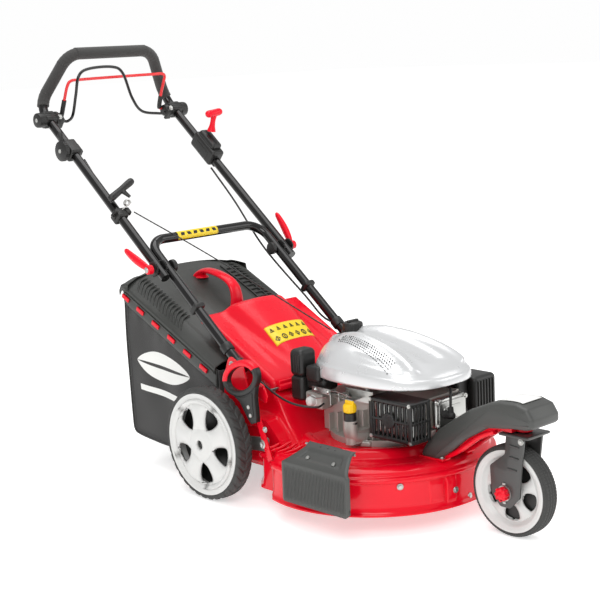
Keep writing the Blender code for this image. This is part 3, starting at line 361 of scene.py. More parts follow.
def boltShape(place, axis, radius=0.005, height=0.004):
    # a hexagon head on a round washer
    axis = Vector(axis).normalized()
    turn = axis.to_track_quat("Z", "Y").to_matrix()
    washer = latheShape([(0, 0.0012), (radius * 1.35, 0.0012), (radius * 1.45, 0.0006), (radius * 1.45, -0.001)],
                        (0, 0, 0), segments=24)
    head = latheShape([(0, height), (radius * 0.8, height), (radius, height - 0.0008), (radius, 0)], (0, 0, 0),
                      segments=6)
    return moved(together(washer, head), turn, place)


def piece(name, shape, look, body, replaces=(), subdivide=0, wall=0.0, offset=-1.0, angle=38, bevel=0.0):
    # makes a finished piece: doubled points merged, faces outwards, then its wall, edges and finer mesh
    points, faces = shape
    mesh = bpy.data.meshes.new(name)
    mesh.from_pydata(np.asarray(points).tolist(), [], faces)
    bm = bmesh.new()
    bm.from_mesh(mesh)
    bmesh.ops.remove_doubles(bm, verts=bm.verts, dist=0.00002)
    bmesh.ops.recalc_face_normals(bm, faces=bm.faces)
    bm.to_mesh(mesh)
    bm.free()
    mesh.shade_smooth()
    mesh.set_sharp_from_angle(angle=math.radians(angle))
    made = bpy.data.objects.new(name, mesh)
    scene.collection.objects.link(made)
    if wall:
        thick = made.modifiers.new("wall", "SOLIDIFY")
        thick.thickness = wall
        thick.offset = offset
    if bevel:
        rounded = made.modifiers.new("edges", "BEVEL")
        rounded.width = bevel
        rounded.segments = 2
        rounded.limit_method = "ANGLE"
        rounded.angle_limit = math.radians(35)
    if subdivide:
        finer = made.modifiers.new("finer", "SUBSURF")
        finer.levels = finer.render_levels = subdivide
    material, slotName = looks[look]
    mesh.materials.append(material)
    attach(made, body)
    if replaces:
        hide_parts(*replaces)
    return made


def bodyOf(node):
    return next(name for name, nodes in frame["record"]["behaviour"]["bodies"].items() if node in nodes)


def refine(node, look, bevel=0.0012):
    # the engineered solid itself, merged, cleaned of flat seams and given rounded edges
    source = frame["nodes"][node]
    bm = bmesh.new()
    bm.from_mesh(source.data)
    bmesh.ops.remove_doubles(bm, verts=bm.verts, dist=0.00002)
    bmesh.ops.dissolve_limit(bm, angle_limit=math.radians(1), verts=bm.verts, edges=bm.edges)
    mesh = bpy.data.meshes.new(node + "Fine")
    bm.to_mesh(mesh)
    bm.free()
    mesh.shade_smooth()
    mesh.set_sharp_from_angle(angle=math.radians(38))
    made = bpy.data.objects.new(node + "Fine", mesh)
    scene.collection.objects.link(made)
    if bevel:
        rounded = made.modifiers.new("edges", "BEVEL")
        rounded.width = bevel
        rounded.segments = 2
        rounded.limit_method = "ANGLE"
        rounded.angle_limit = math.radians(35)
        rounded.use_clamp_overlap = True
    material, slotName = looks[look]
    mesh.materials.clear()
    mesh.materials.append(material)
    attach(made, bodyOf(node))
    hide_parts(node)
    return made


def handlePoint(x, y, lift=0.0):
    # the handle is a straight line in side view, z = base + rise * (y - base y); lift is square to it
    angle = math.atan(mower["handleRise"])
    z = mower["legBase"][1] + (y - mower["legBase"][0]) * mower["handleRise"]
    return np.array([x, y - lift * math.sin(angle), z + lift * math.cos(angle)])


handleTurn = Matrix.Rotation(math.atan(mower["handleRise"]), 3, "X")


def onHandle(shape, x, y, lift=0.0):
    # a shape drawn with its length along Y, laid along the handle's line
    return moved(shape, handleTurn, handlePoint(x, y, lift))


def slopePoint(x, along, lift=0.0):
    # a point so far up the rear cover's slope from its hinge, lifted square to the slope
    y0, z0 = mower["rearHinge"]
    s = mower["slope"]
    along, lift, x = np.broadcast_arrays(along, lift, x)
    return np.stack([x, y0 + along * math.cos(s) - lift * math.sin(s), z0 + along * math.sin(s) + lift * math.cos(s)],
                    -1)


def lidEdgeZ(y):
    # the bag lid's edge climbs in a straight line towards the back
    y0, z0, rise = mower["lidEdge"]
    return z0 + rise * (y - y0)


# the deck: a deep round pan in pressed steel, with a tunnel rising to the bag
deck = {
    "profile": [(0.1, 0.1655), (0.15, 0.1655), (0.16, 0.169), (0.172, 0.169), (0.18, 0.164), (0.188, 0.1545),
                (0.196, 0.15), (0.236, 0.15), (0.252, 0.148), (0.264, 0.142), (0.27, 0.135), (0.2735, 0.1335),
                (0.28, 0.1325), (0.283, 0.129), (0.283, 0.1245), (0.28, 0.121), (0.276, 0.1195),
                (0.2755, 0.1), (0.2762, 0.07), (0.279, 0.056), (0.283, 0.05), (0.283, 0.046),
                (0.28, 0.045)],
    "narrow": (-0.15, 0.225), "opening": ((-0.385, -0.275), (0.07, 0.118)), "wall": 0.0022,
}


def narrowedAtWheels(points):
    # the pan's sides are flattened beside the rear wheels
    y0, limit = deck["narrow"]
    room = limit + np.clip((y0 - points[..., 1]) / 0.03, 0, 1) * 0.08
    points[..., 0] = np.clip(points[..., 0], -room, room)
    return points


def makeDeck(d):
    profile = smoothPath([(r, z, 0) for r, z in d["profile"]], 90)[:, :2]
    turns = 192
    turn = np.arange(turns) * 2 * pi / turns
    points = np.stack([
        profile[:, 0][:, None] * np.cos(turn), mower["bladeY"] + profile[:, 0][:, None] * np.sin(turn),
        np.broadcast_to(profile[:, 1][:, None], (len(profile), turns)),
    ], -1)
    points = narrowedAtWheels(points)
    centre = (points[:-1] + np.roll(points, -1, 1)[:-1]) / 2
    (yLow, yHigh), (zLow, zHigh) = d["opening"]
    open_ = (centre[..., 0] < -0.2) & (centre[..., 1] > yLow) & (centre[..., 1] < yHigh) & (centre[..., 2] > zLow) \
        & (centre[..., 2] < zHigh)
    behind = (centre[..., 1] > -0.075) & (np.abs(centre[..., 0]) < 0.2) & (centre[..., 2] > 0.1)
    pan = gridShape(points, closeV=True, keep=~(open_ | behind))
    piece("deckPan", pan, "powderCoatedSteel", "chassis", ["deck"], wall=d["wall"], angle=50)

    # the tunnel: arched sections, narrower and taller towards the bag
    v = np.linspace(0, 1, 60)
    y = -0.172 + v * (0.0765 + 0.172)
    top = np.interp(y, [-0.172, -0.15, -0.12, -0.1, -0.08, -0.02, 0.058, 0.0765],
                    [0.14, 0.166, 0.196, 0.232, 0.258, 0.291, 0.333, 0.334])
    top = np.convolve(np.pad(top, 3, mode="edge"), np.ones(7) / 7, "valid")
    shoulder = np.interp(y, [-0.172, -0.13, -0.09, 0.0765], [0.128, 0.168, 0.206, 0.21])
    half = np.interp(y, [-0.172, -0.13, 0.0765], [0.212, 0.2045, 0.2045])
    s = np.linspace(-1, 1, 97)[None, :]
    a = np.abs(s)
    shoulder, top, half, y = (k[:, None] for k in (shoulder, top, half, y))
    x = np.interp(a.ravel(), [0, 0.55, 0.63, 0.7, 0.8, 0.84, 1.0], [0, 0.145, 0.163, 0.168, 0.19, 1, 1])[None]
    x = np.where(x >= 1, half, np.minimum(x * half / 0.205, half))
    k = np.interp(a.ravel(), [0, 0.55, 0.62, 0.66, 0.72, 0.78, 0.84, 0.87, 1.0],
                  [0, 0, 0.06, 0.5, 0.96, 1.0, 1.0, 1.1, 2.0])[None]
    z = np.where(k <= 1, top + (shoulder - top) * k, shoulder - (k - 1) * (shoulder - 0.092))
    # a long pressed-in teardrop along each side of the rise
    swoop = np.exp(-((y + 0.035) / 0.055) ** 2 - ((a - 0.68) / 0.05) ** 2)
    x = x - 0.01 * swoop
    z = z - 0.008 * np.exp(-((y + 0.06) / 0.05) ** 2 - ((a - 0.3) / 0.16) ** 2)
    points = np.stack([np.sign(s) * x, np.broadcast_to(y, x.shape), z], -1)
    piece("deckTunnel", gridShape(points), "powderCoatedSteel", "chassis", ["deck"], wall=0.0028, angle=60)

    # the stiffening ribs pressed in the right shoulder
    ribs = []
    for j in range(5):
        y0 = -0.215 + 0.02 * j
        path = smoothPath([(-0.176 - 0.004 * j, y0, 0.163), (-0.205 - 0.003 * j, y0 + 0.006, 0.1535),
                           (-0.232 - 0.002 * j, y0 + 0.014, 0.15)], 12)
        ribs.append(tubeShape(path, 0.0042 * np.sin(np.linspace(0.25, pi - 0.25, 12)) ** 0.6, 10, side=(0, 1, 0)))
    # a raised upright panel and its band on the front right of the skirt
    def onSkirt(angleA, angleB, zA, zB, out):
        # a patch of the skirt's cylinder, raised by out and falling to the skin at its edges
        turnIn = np.radians(np.linspace(angleA, angleB, 30))[:, None]
        rise = np.linspace(zA, zB, 12)[None, :]
        edge = np.minimum(np.minimum(np.linspace(0, 1, 30), np.linspace(1, 0, 30))[:, None] * 12,
                          np.minimum(np.linspace(0, 1, 12), np.linspace(1, 0, 12))[None] * 5)
        r = 0.2755 + out * np.clip(edge, 0, 1)
        return gridShape(np.stack([r * np.cos(turnIn), mower["bladeY"] + r * np.sin(turnIn), rise + 0 * r], -1))
    piece("skirtPanel", onSkirt(-112, -104, 0.06, 0.118, 0.0035), "powderCoatedSteel", "chassis", angle=60)
    piece("skirtBand", onSkirt(-103, -97, 0.05, 0.1215, 0.005), "powderCoatedSteel", "chassis", angle=60)
    piece("shoulderRibs", together(*ribs), "powderCoatedSteel", "chassis")
    bolts = []
    for degrees, z, r in ((-98, 0.085, 0.281), (-80, 0.11, 0.276), (-88, 0.058, 0.277), (-126, 0.112, 0.277)):
        t = math.radians(degrees)
        axis = (math.cos(t), math.sin(t), 0)
        bolts.append(boltShape((r * axis[0], mower["bladeY"] + r * axis[1], z), axis, 0.0052, 0.004))
    piece("skirtBolts", together(*bolts), "zincPlate", "chassis")


makeDeck(deck)
print("deck made")


# the side discharge flap: ribbed charcoal plastic on a spring hinge
sideFlap = {"y": (-0.45, -0.238), "hinge": (-0.244, 0.193), "ribs": 46}


def makeSideFlap(f):
    section = smoothPath([(-0.246, 0.1995, 0), (-0.257, 0.1925, 0), (-0.271, 0.181, 0), (-0.285, 0.169, 0),
                          (-0.293, 0.161, 0), (-0.2952, 0.153, 0), (-0.2955, 0.11, 0), (-0.2962, 0.066, 0)],
                          60)[:, :2]
    y0, y1 = f["y"]
    y = np.linspace(y0, y1, 185)
    across = (y - y0) / (y1 - y0)
    # bottom corners are cut back and rounded; ribs stand on the upright part only
    lowCut = 0.009 * (np.clip(np.abs(across - 0.5) * 2 - 0.9, 0, 1) / 0.1) ** 2
    x = np.broadcast_to(section[:, 0][:, None], (60, 185)).copy()
    z = np.broadcast_to(section[:, 1][:, None], (60, 185)).copy()
    upright = np.clip((0.155 - z) / 0.006, 0, 1) * np.clip((z - 0.069) / 0.003, 0, 1)
    inside = np.clip(np.minimum(across, 1 - across) * 30 - 0.4, 0, 1)[None]
    wave = np.clip(np.sin(2 * pi * f["ribs"] * across) * 3, -1, 1)[None]
    x = x - 0.0007 * wave * upright * inside
    # the middle of the lid part is pressed down as a shallow tray
    tray = np.clip((z - 0.168) / 0.004, 0, 1) * np.clip((0.19 - z) / 0.004, 0, 1) * \
        np.clip(np.minimum(across - 0.1, 0.9 - across) * 25, 0, 1)[None]
    x = x + 0.0022 * tray
    z = z - 0.0018 * tray + lowCut[None] * (z < 0.08)
    # the sides curl in slightly
    curl = (np.clip(np.abs(across - 0.5) * 2 - 0.94, 0, 1) / 0.06)[None] ** 2
    x = x + 0.005 * curl
    # the lid part is shorter than the panel, with rounded shoulders
    lean = np.clip((z - 0.156) / 0.034, 0, 1) ** 0.8
    yy = (y0 + 0.026 * lean) + across * ((y1 - 0.044 * lean) - (y0 + 0.026 * lean))
    points = np.stack([x, yy, z], -1)
    piece("sideFlapPanel", gridShape(points), "grainedPolypropylene", "side_flap", ["side_flap"], wall=0.0026,
          offset=1.0, angle=55)
    hx, hz = f["hinge"]
    barrel = tubeShape([(hx, -0.378, hz), (hx, -0.32, hz)], 0.0075, 20)
    webs = [boxShape((hx - 0.012, yy, hz - 0.01), (hx + 0.002, yy + 0.004, hz + 0.006), 0.001)
            for yy in (-0.374, -0.351, -0.328)]
    screws = [boltShape((-0.28, yy, 0.1755), (-0.66, 0, 0.75), 0.0034, 0.002) for yy in (-0.392, -0.31)]
    piece("sideFlapBarrel", together(barrel, *webs), "grainedPolypropylene", "side_flap")
    piece("sideFlapScrews", together(*screws), "zincPlate", "side_flap")
    refine("side_flap_pin", "zincPlate", 0.0008)
    turn = np.linspace(0, 5 * 2 * pi, 120)
    coil = np.stack([hx + 0.0055 * np.cos(turn), -0.304 + 0.018 * turn / turn[-1], hz + 0.0055 * np.sin(turn)], -1)
    piece("sideFlapSpring", tubeShape(coil, 0.0009, 8, side=(0, 1, 0)), "zincPlate", "chassis")


makeSideFlap(sideFlap)
print("side flap made")


# the rear cover: moulded red plastic with a ridge that narrows towards the engine
def makeRearCover():
    along = np.linspace(0.004, 0.296, 70)[:, None]
    s = np.linspace(-1, 1, 81)[None]
    a = np.abs(s)
    # flat wings, then a steep wall up to the rounded ridge; the ridge widens and rises to the rear
    grow = np.clip((along - 0.01) / 0.25, 0, 1)
    ridgeHalf = 0.052 + 0.036 * grow
    ridgeHigh = (0.008 + 0.034 * grow ** 0.9) * np.clip((0.305 - along) / 0.03, 0, 1) ** 0.5
    x = 0.163 * s
    wall = 1 / (1 + np.exp((np.abs(x) - ridgeHalf) / 0.0055))
    lift = 0.0125 + ridgeHigh * wall * (1 - 0.25 * (np.clip(np.abs(x) / ridgeHalf, 0, 1)) ** 2)
    rim = np.clip((a - 0.955) / 0.045, 0, 1)
    lift = lift - 0.02 * rim ** 1.5
    # a sunk oval panel on each wing and a crease along the ridge
    lift = lift - 0.0035 * np.exp(-((np.abs(x) - 0.125) / 0.018) ** 4 - ((along - 0.14) / 0.08) ** 4)
    nose = np.clip((0.02 - along) / 0.016, 0, 1)
    lift = lift - 0.012 * nose ** 2
    points = slopePoint(x + 0 * along, along + 0 * s, lift)
    piece("rearCoverShell", gridShape(points), "mouldedRedAbs", "rear_cover", ["rear_cover"], wall=0.0026, angle=60)
    y0, z0 = mower["rearHinge"]
    barrels = [tubeShape([(x0, y0, z0), (x0 + 0.055, y0, z0)], 0.0078, 20, side=(0, 1, 0)) for x0 in (-0.15, -0.0275,
            0.095)]
    webs = [boxShape((x0 + 0.004, y0, z0 + 0.003), (x0 + 0.051, y0 + 0.012, z0 + 0.0155), 0.002)
            for x0 in (-0.15, -0.0275, 0.095)]
    piece("rearCoverHinge", together(*barrels, *webs), "mouldedRedAbs", "rear_cover")
    refine("rear_cover_pin", "zincPlate", 0.0008)
    turn = np.linspace(0, 9 * 2 * pi, 200)
    coil = np.stack([-0.093 + 0.045 * turn / turn[-1], y0 + 0.0062 * np.cos(turn), z0 + 0.0062 * np.sin(turn)], -1)
    piece("rearCoverSpring", tubeShape(coil, 0.001, 8), "zincPlate", "chassis")

    # yellow sheet label with plain geometric signs, on the right wing and ridge
    def onCover(u, v, out):
        # u 0..1 across, v 0..1 up the slope, lifted a little off the ridge's crown
        x = -0.066 + 0.132 * np.asarray(u, float)
        along = 0.116 + 0.06 * np.asarray(v, float)
        g = np.clip((along - 0.01) / 0.25, 0, 1)
        rh, hh = 0.052 + 0.036 * g, 0.008 + 0.034 * g ** 0.9
        w = 1 / (1 + np.exp((np.abs(x) - rh) / 0.0055))
        return slopePoint(x, along, 0.0125 + hh * w * (1 - 0.25 * np.clip(np.abs(x) / rh, 0, 1) ** 2) + out)
    u, v = np.meshgrid(np.linspace(0, 1, 41), np.linspace(0, 1, 13), indexing="ij")
    piece("coverLabel", gridShape(onCover(u, v, 0.0009)), "yellowVinyl", "rear_cover", wall=0.0006)
    signs = []
    rng = np.random.default_rng(7)
    for row, low in enumerate((0.58, 0.12)):
        for column in range(6):
            c = 0.09 + 0.163 * column
            corners = 3 if row == 0 else int(rng.choice([4, 24, 4]))
            t = np.arange(corners) * 2 * pi / corners + pi / 2
            rim = np.stack([c + 0.055 * np.cos(t), low + 0.14 + 0.15 * np.sin(t)], -1)
            core = np.stack([c + 0.036 * np.cos(t), low + 0.14 + 0.095 * np.sin(t)], -1)
            ring = np.stack([onCover(k[:, 0], k[:, 1], 0.0017) for k in (rim, core)])
            signs.append(gridShape(ring, closeV=True))
            bar = np.array([(c - 0.008, low + 0.07), (c + 0.008, low + 0.07), (c + 0.008, low + 0.2),
                            (c - 0.008, low + 0.2)])
            signs.append((onCover(bar[:, 0], bar[:, 1], 0.0017), [[0, 1, 2, 3]]))
    piece("coverLabelSigns", together(*signs), "blackInk", "rear_cover", wall=0.0002)


makeRearCover()
print("rear cover made")


# wheels
def rimPoints(sectorCount, radii, windowHalf, rows):
    # polar grid whose columns follow the edges of the windows between spokes
    r = np.interp(np.linspace(0, 1, rows), np.linspace(0, 1, len(radii)), radii)
    half = windowHalf(r)
    sector = 2 * pi / sectorCount
    inWindow = np.linspace(-1, 1, 9)
    inSpoke = np.linspace(0, 1, 9)[1:-1]
    columns = np.concatenate([half[:, None] * inWindow, half[:, None] + (sector - 2 * half[:, None]) * inSpoke], 1)
    turn = np.concatenate([columns + k * sector for k in range(sectorCount)], 1)
    isWindow = np.tile(np.arange(16) < 8, sectorCount)
    return r, turn, isWindow


def makeRim(name, node, body, centre, out, wheel, whole=True):
    # out is the direction of the outer face along x; whole adds the barrel and hub
    def windowHalf(r):
        low, high = wheel["window"]
        # round at the hub end, widest and square-shouldered at the rim end
        t = np.clip((r - low) / (high - low), 0, 1)
        shape = (t * (2 - t)) ** 0.6 * (1 - t ** 14) ** 0.5
        return np.maximum(shape * wheel["windowWidth"] / np.maximum(r, 0.01), 0.0004)
    low, high = wheel["window"]
    r, turn, isWindow = rimPoints(5, wheel["radii"], windowHalf, wheel["rows"])
    turn = turn + math.radians(wheel["start"])
    depth = np.interp(r, wheel["faceRadii"], wheel["face"])
    # spokes are crowned: their edges sink towards each window
    crown = np.tile(np.concatenate([np.zeros(9), np.sin(pi * np.linspace(0, 1, 9)[1:-1])]), 5)[None]
    along = np.clip((r - low) / (high - low), 0, 1)[:, None]
    points = np.stack([
        centre[0] + out * (depth[:, None] + wheel["crown"] * crown * (4 * along * (1 - along)) ** 0.5 + 0 * turn),
        centre[1] + r[:, None] * np.cos(turn), centre[2] + r[:, None] * np.sin(turn),
    ], -1)
    middle = (r[:-1] + r[1:]) / 2
    keep = ~((middle[:, None] > low) & (middle[:, None] < high) & isWindow[None])
    front = gridShape(points, closeV=True, keep=keep)
    piece(name + "Spider", front, "whiteNylon", body, [node], wall=wheel["web"], offset=-1.0 if out > 0 else 1.0,
          angle=45)
    if not whole:
        return
    # barrel behind the spokes, a black back wall that is painted shade behind the windows, and the hub
    half = wheel["width"] / 2
    profile = [(wheel["rim"], half), (wheel["rim"] - 0.004, half + 0.0005), (wheel["lip"], half - 0.001),
               (wheel["lip"] - 0.002, half - 0.006),
               (wheel["lip"] - 0.003, -half + 0.006), (wheel["lip"], -half + 0.001), (wheel["rim"], -half)]
    profile = [(a, out * b) for a, b in profile]
    piece(name + "Barrel", latheShape(profile, centre, "X", 128, closed=True), "whiteNylon", body, [node])
    # a black disc behind the windows: painted shade, so the windows read dark
    wall = wheel["shadeWallDepth"]
    back = [(0.012, wall - 0.001), (wheel["lip"] - 0.002, wall - 0.001), (wheel["lip"] - 0.002, wall + 0.001),
            (0.012, wall + 0.001)]
    piece(name + "ShadeWall", latheShape([(a, out * b) for a, b in back], centre, "X", 96, closed=True), "blackNylon",
          body, [node])
    hub = [(0.0, half - wheel["hubIn"]), (wheel["hub"] - 0.004, half - wheel["hubIn"]),
           (wheel["hub"], half - wheel["hubIn"] - 0.003),
           (wheel["hub"] + 0.002, -half * 0.4), (0.0, -half * 0.4)]
    piece(name + "Hub", latheShape([(a, out * b) for a, b in hub], centre, "X", 64), "whiteNylon", body, [node])


def makeTyre(name, node, body, centre, tyre):
    # a rounded section carried round the axle; tread blocks stand out of the running face
    half, r, rim = tyre["width"] / 2, tyre["radius"], tyre["rim"]
    section = smoothPath([(rim - 0.001, half - 0.003, 0), (rim + 0.002, half - 0.0005, 0), (r - 0.008, half, 0),
                          (r - 0.003, half - 0.004, 0),
                          (r - 0.0012, half - 0.01, 0), (r - 0.0008, 0, 0), (r - 0.0012, 0.01 - half, 0),
                          (r - 0.003, 0.004 - half, 0),
                          (r - 0.008, -half, 0), (rim + 0.002, 0.0005 - half, 0), (rim - 0.001, 0.003 - half, 0)],
                          tyre["across"])[:, :2]
    turns = tyre["turns"]
    turn = np.arange(turns)[None] * 2 * pi / turns
    radius, h = section[:, 0][:, None], section[:, 1][:, None]
    tread = np.clip((radius - (r - 0.012)) / 0.004, 0, 1)
    lugs = tyre["pattern"](turn, h, half)
    radius = radius + (lugs * 0.0022 - 0.0016) * tread
    radius = np.minimum(radius, r + 0.0004)
    points = np.stack([centre[0] + h + 0 * turn, centre[1] + radius * np.cos(turn),
                       centre[2] + radius * np.sin(turn)], -1)
    piece(name, gridShape(points, closeV=True), "tyreRubber", body, [node], angle=32)


def chevronLugs(turn, h, half):
    # slanted blocks that meet at the middle, with a groove between neighbours
    phase = turn * 34 / (2 * pi) + np.abs(h) / half * 0.9
    saw = phase - np.floor(phase)
    blocks = np.clip((0.36 - np.abs(saw - 0.5)) * 14, 0, 1)
    groove = np.clip((np.abs(h) - 0.0014) / 0.001, 0, 1)
    return blocks * groove


def ribbedTread(turn, h, half):
    # four straight grooves round the tyre, with fine nicks along the ribs
    rib = np.abs(((h / half * 2.5 + 0.5) % 1) - 0.5) * 2
    nick = np.clip(np.abs(np.sin(turn * 45)) * 4 - 0.4, 0, 1)
    return np.clip((rib - 0.22) * 9, 0, 1) * (0.55 + 0.45 * nick) + 0 * turn


rearWheel = {
    "width": 0.046, "rim": 0.1255, "lip": 0.113, "window": (0.043, 0.0995), "windowWidth": 0.0285, "crown": 0.0085,
    "start": 48,
    "radii": [0.012, 0.036, 0.043, 0.0438, 0.047, 0.053, 0.062, 0.074, 0.086, 0.093, 0.0975, 0.0995, 0.104, 0.108,
              0.1135], "rows": 57,
    "faceRadii": [0.012, 0.026, 0.034, 0.05, 0.08, 0.0985, 0.1, 0.106, 0.1075, 0.1135],
    "face": [0.0215, 0.0215, 0.0175, 0.015, 0.0125, 0.012, 0.013, 0.0135, 0.018, 0.0215],
    "web": 0.009, "hub": 0.022, "hubIn": 0.0035, "shadeWallDepth": -0.012,
}
rearTyre = {"width": 0.047, "radius": 0.1395, "rim": 0.1255, "across": 61, "turns": 612, "pattern": chevronLugs}
casterWheel = {
    "width": 0.043, "rim": 0.0925, "lip": 0.084, "window": (0.03, 0.069), "windowWidth": 0.0215, "crown": 0.005,
    "start": 54,
    "radii": [0.008, 0.024, 0.03, 0.0306, 0.033, 0.038, 0.045, 0.054, 0.062, 0.0665, 0.0685, 0.069, 0.073, 0.078,
              0.0845], "rows": 57,
    "faceRadii": [0.008, 0.018, 0.024, 0.034, 0.06, 0.07, 0.0745, 0.079, 0.0845],
    "face": [0.0205, 0.0205, 0.013, 0.01, 0.009, 0.0095, 0.0135, 0.019, 0.0205],
    "web": 0.007, "hub": 0.015, "hubIn": 0.002, "shadeWallDepth": 0.0,
}
casterTyre = {"width": 0.0445, "radius": 0.1036, "rim": 0.0925, "across": 61, "turns": 450, "pattern": ribbedTread}

for side, word in ((-1, "right"), (1, "left")):
    centre = (side * 0.261, *mower["rearAxle"])
    makeRim("rearWheel" + word.title(), "rear_rim_" + word, "rear_wheel_" + word, centre, side, rearWheel)
    makeTyre("rearTyre" + word.title(), "rear_tyre_" + word, "rear_wheel_" + word, centre, rearTyre)
    cap = latheShape([(0, side * 0.0245), (0.008, side * 0.024), (0.011, side * 0.0215), (0.011, side * 0.016)],
                     centre, "X", 32)
    piece("axleCap" + word.title(), cap, "blackNylon", "rear_wheel_" + word)
centre = (0, *mower["casterAxle"])
makeRim("casterWheelNear", "caster_rim", "caster_wheel", centre, -1, casterWheel)
makeRim("casterWheelFar", "caster_rim", "caster_wheel", centre, 1, casterWheel, whole=False)
makeTyre("casterTyreTread", "caster_tyre", "caster_wheel", centre, casterTyre)
print("wheels made")


# the front: boom cover, boom, fork
boom = {
    "halfWidth": 0.05, "stations": 70,
    "outline": [(-0.438, 0.15), (-0.462, 0.19), (-0.49, 0.219), (-0.532, 0.247), (-0.582, 0.279),
                (-0.64, 0.3035), (-0.668, 0.3105), (-0.712, 0.3125),
                (-0.742, 0.304), (-0.757, 0.282), (-0.757, 0.262), (-0.735, 0.256), (-0.7, 0.254),
                (-0.63, 0.244), (-0.568, 0.208),
                (-0.525, 0.172), (-0.494, 0.15)],
}


def makeFrontBoom(b):
    # side view of the cover: an arch with a flat crown and a blunt nose, its long edges well rounded
    outline = roundedOutline(b["outline"], 0.01, 7)
    low, high = -b["halfWidth"], b["halfWidth"]
    points, faces = slabShape(outline, low, high, 0.011)
    # the foot spreads where it meets the deck
    points[:, 0] *= 1 + 0.16 * np.clip((0.215 - points[:, 2]) / 0.06, 0, 1)
    piece("casterCoverShell", (points, faces), "grainedPolypropylene", "chassis", ["caster_cover"], angle=50)
    topLine = smoothPath([(0, y, z) for y, z in b["outline"][3:9]], b["stations"])
    # blank white plate on the sloping crown
    v0, v1 = int(0.52 * b["stations"]), int(0.86 * b["stations"])
    rows = topLine[v0:v1]
    width = np.linspace(-0.033, 0.033, 9)
    plate = np.stack([np.stack([width, 0 * width + y, 0 * width + z + 0.0008], -1) for _, y, z in rows])
    piece("blankPlate", gridShape(plate), "whiteVinyl", "chassis", wall=0.0008, offset=1.0)
    refine("caster_arm", "powderCoatedSteel", 0.0025)
    # pressed tube frame under the boom, bolted to the pan
    rails = []
    for side in (-1, 1):
        rails.append(tubeShape(smoothPath([(side * 0.033, -0.48, 0.15), (side * 0.033, -0.512, 0.16),
                                           (side * 0.032, -0.55, 0.182),
                                           (side * 0.03, -0.6, 0.218), (side * 0.028, -0.64, 0.236)], 30), 0.0085,
                                           18, flat=0.75))
        rails.append(boxShape((side * 0.043 - 0.014, -0.512, 0.1495), (side * 0.043 + 0.014, -0.44, 0.1535), 0.0012))
    piece("boomRails", together(*rails), "powderCoatedSteel", "chassis")
    bolts = [boltShape((side * 0.043 - 0.002, y, 0.154), (0, 0, 1), 0.0055, 0.004) for side in (-1,
            1) for y in (-0.452, -0.5)]
    piece("boomBolts", together(*bolts), "zincPlate", "chassis")


def makeFork():
    leg = roundedOutline([(-0.724, 0.237), (-0.674, 0.237), (-0.67, 0.192), (-0.628, 0.16), (-0.631, 0.098),
                          (-0.655, 0.071), (-0.682, 0.071), (-0.708, 0.098), (-0.714, 0.16)], 0.009, 6)
    shapes = [boxShape((-0.04, -0.738, 0.2335), (0.04, -0.658, 0.24), 0.003)]
    slots, bolts = [], []
    for side in (-1, 1):
        x = side * 0.0315
        shapes.append(slabShape(leg, x - 0.003, x + 0.003, 0.0014))
        for y, z in ((-0.6975, 0.214), (-0.696, 0.188), (-0.69, 0.161)):
            t = math.radians(4)
            run = np.array([0, math.cos(t), math.sin(t)]) * 0.013
            mid = np.array([side * 0.035, y, z])
            slots.append(tubeShape([mid - run, mid - run * 0.9, mid + run * 0.9, mid + run],
                                   [0.001, 0.0032, 0.0032, 0.001], 12, flat=0.6))
        bolts.append(boltShape((side * 0.0348, -0.715, 0.2265), (side, 0, 0), 0.005, 0.004))
    piece("forkBody", together(*shapes), "forkSteel", "caster_swivel", ["caster_fork"])
    piece("forkSlots", together(*slots), "forkSteel", "caster_swivel")
    y, z = mower["casterAxle"]
    # eight-lobed red hub nut over a zinc washer, with a small grease tab above and below
    t = np.arange(96) * 2 * pi / 96
    lobed = 0.0148 + 0.0014 * np.cos(8 * t)
    outline = np.stack([y + lobed * np.cos(t), z + lobed * np.sin(t)], -1)
    nut = together(slabShape(outline, -0.052, -0.0368, 0.0028),
                   latheShape([(0, -0.054), (0.006, -0.0538), (0.0082, -0.052), (0.0082, -0.05)], (0, y, z), "X",
                              32))
    piece("hubNut", nut, "mouldedRedAbs", "caster_swivel", ["caster_axle"])
    metal = together(
        latheShape([(0, -0.0372), (0.0175, -0.0372), (0.018, -0.0362), (0.018, -0.0346), (0, -0.0346)], (0, y, z),
                   "X", 40),
        latheShape([(0, -0.044), (0.0049, -0.044), (0.0049, 0.043), (0.0042, 0.044), (0, 0.044)], (0, y, z), "X", 32),
        boltShape((0.0348, y, z), (1, 0, 0), 0.0078, 0.0066),
        boxShape((-0.0372, y - 0.004, z + 0.0185), (-0.0346, y + 0.004, z + 0.0235), 0.0008),
        boxShape((-0.0372, y - 0.004, z - 0.0235), (-0.0346, y + 0.004, z - 0.0185), 0.0008), *bolts,
    )
    piece("forkFasteners", metal, "zincPlate", "caster_swivel")
    stem = latheShape([(0, 0.2893), (0.008, 0.2893), (0.0093, 0.288), (0.0093, 0.24), (0.017, 0.24),
                       (0.017, 0.2385), (0, 0.2385)],
                      (0, mower["swivelY"], 0), segments=48)
    piece("swivelStem", stem, "zincPlate", "caster_swivel")


# dark stove enamel on pressed plate
makeLook("forkSteel", "steel", "4a4a49", 0.38, metallic=0.35, coat=0.25, grain=(0.0016, 0.00012), mottle=0.08)
makeFrontBoom(boom)
makeFork()
print("front made")


# engine
engine = {"cover": ((0.005, -0.305), (0.14, 0.183), 0.312, 0.41), "plan": 0.78,
          "crown": 0.6}  # powers of the superellipse


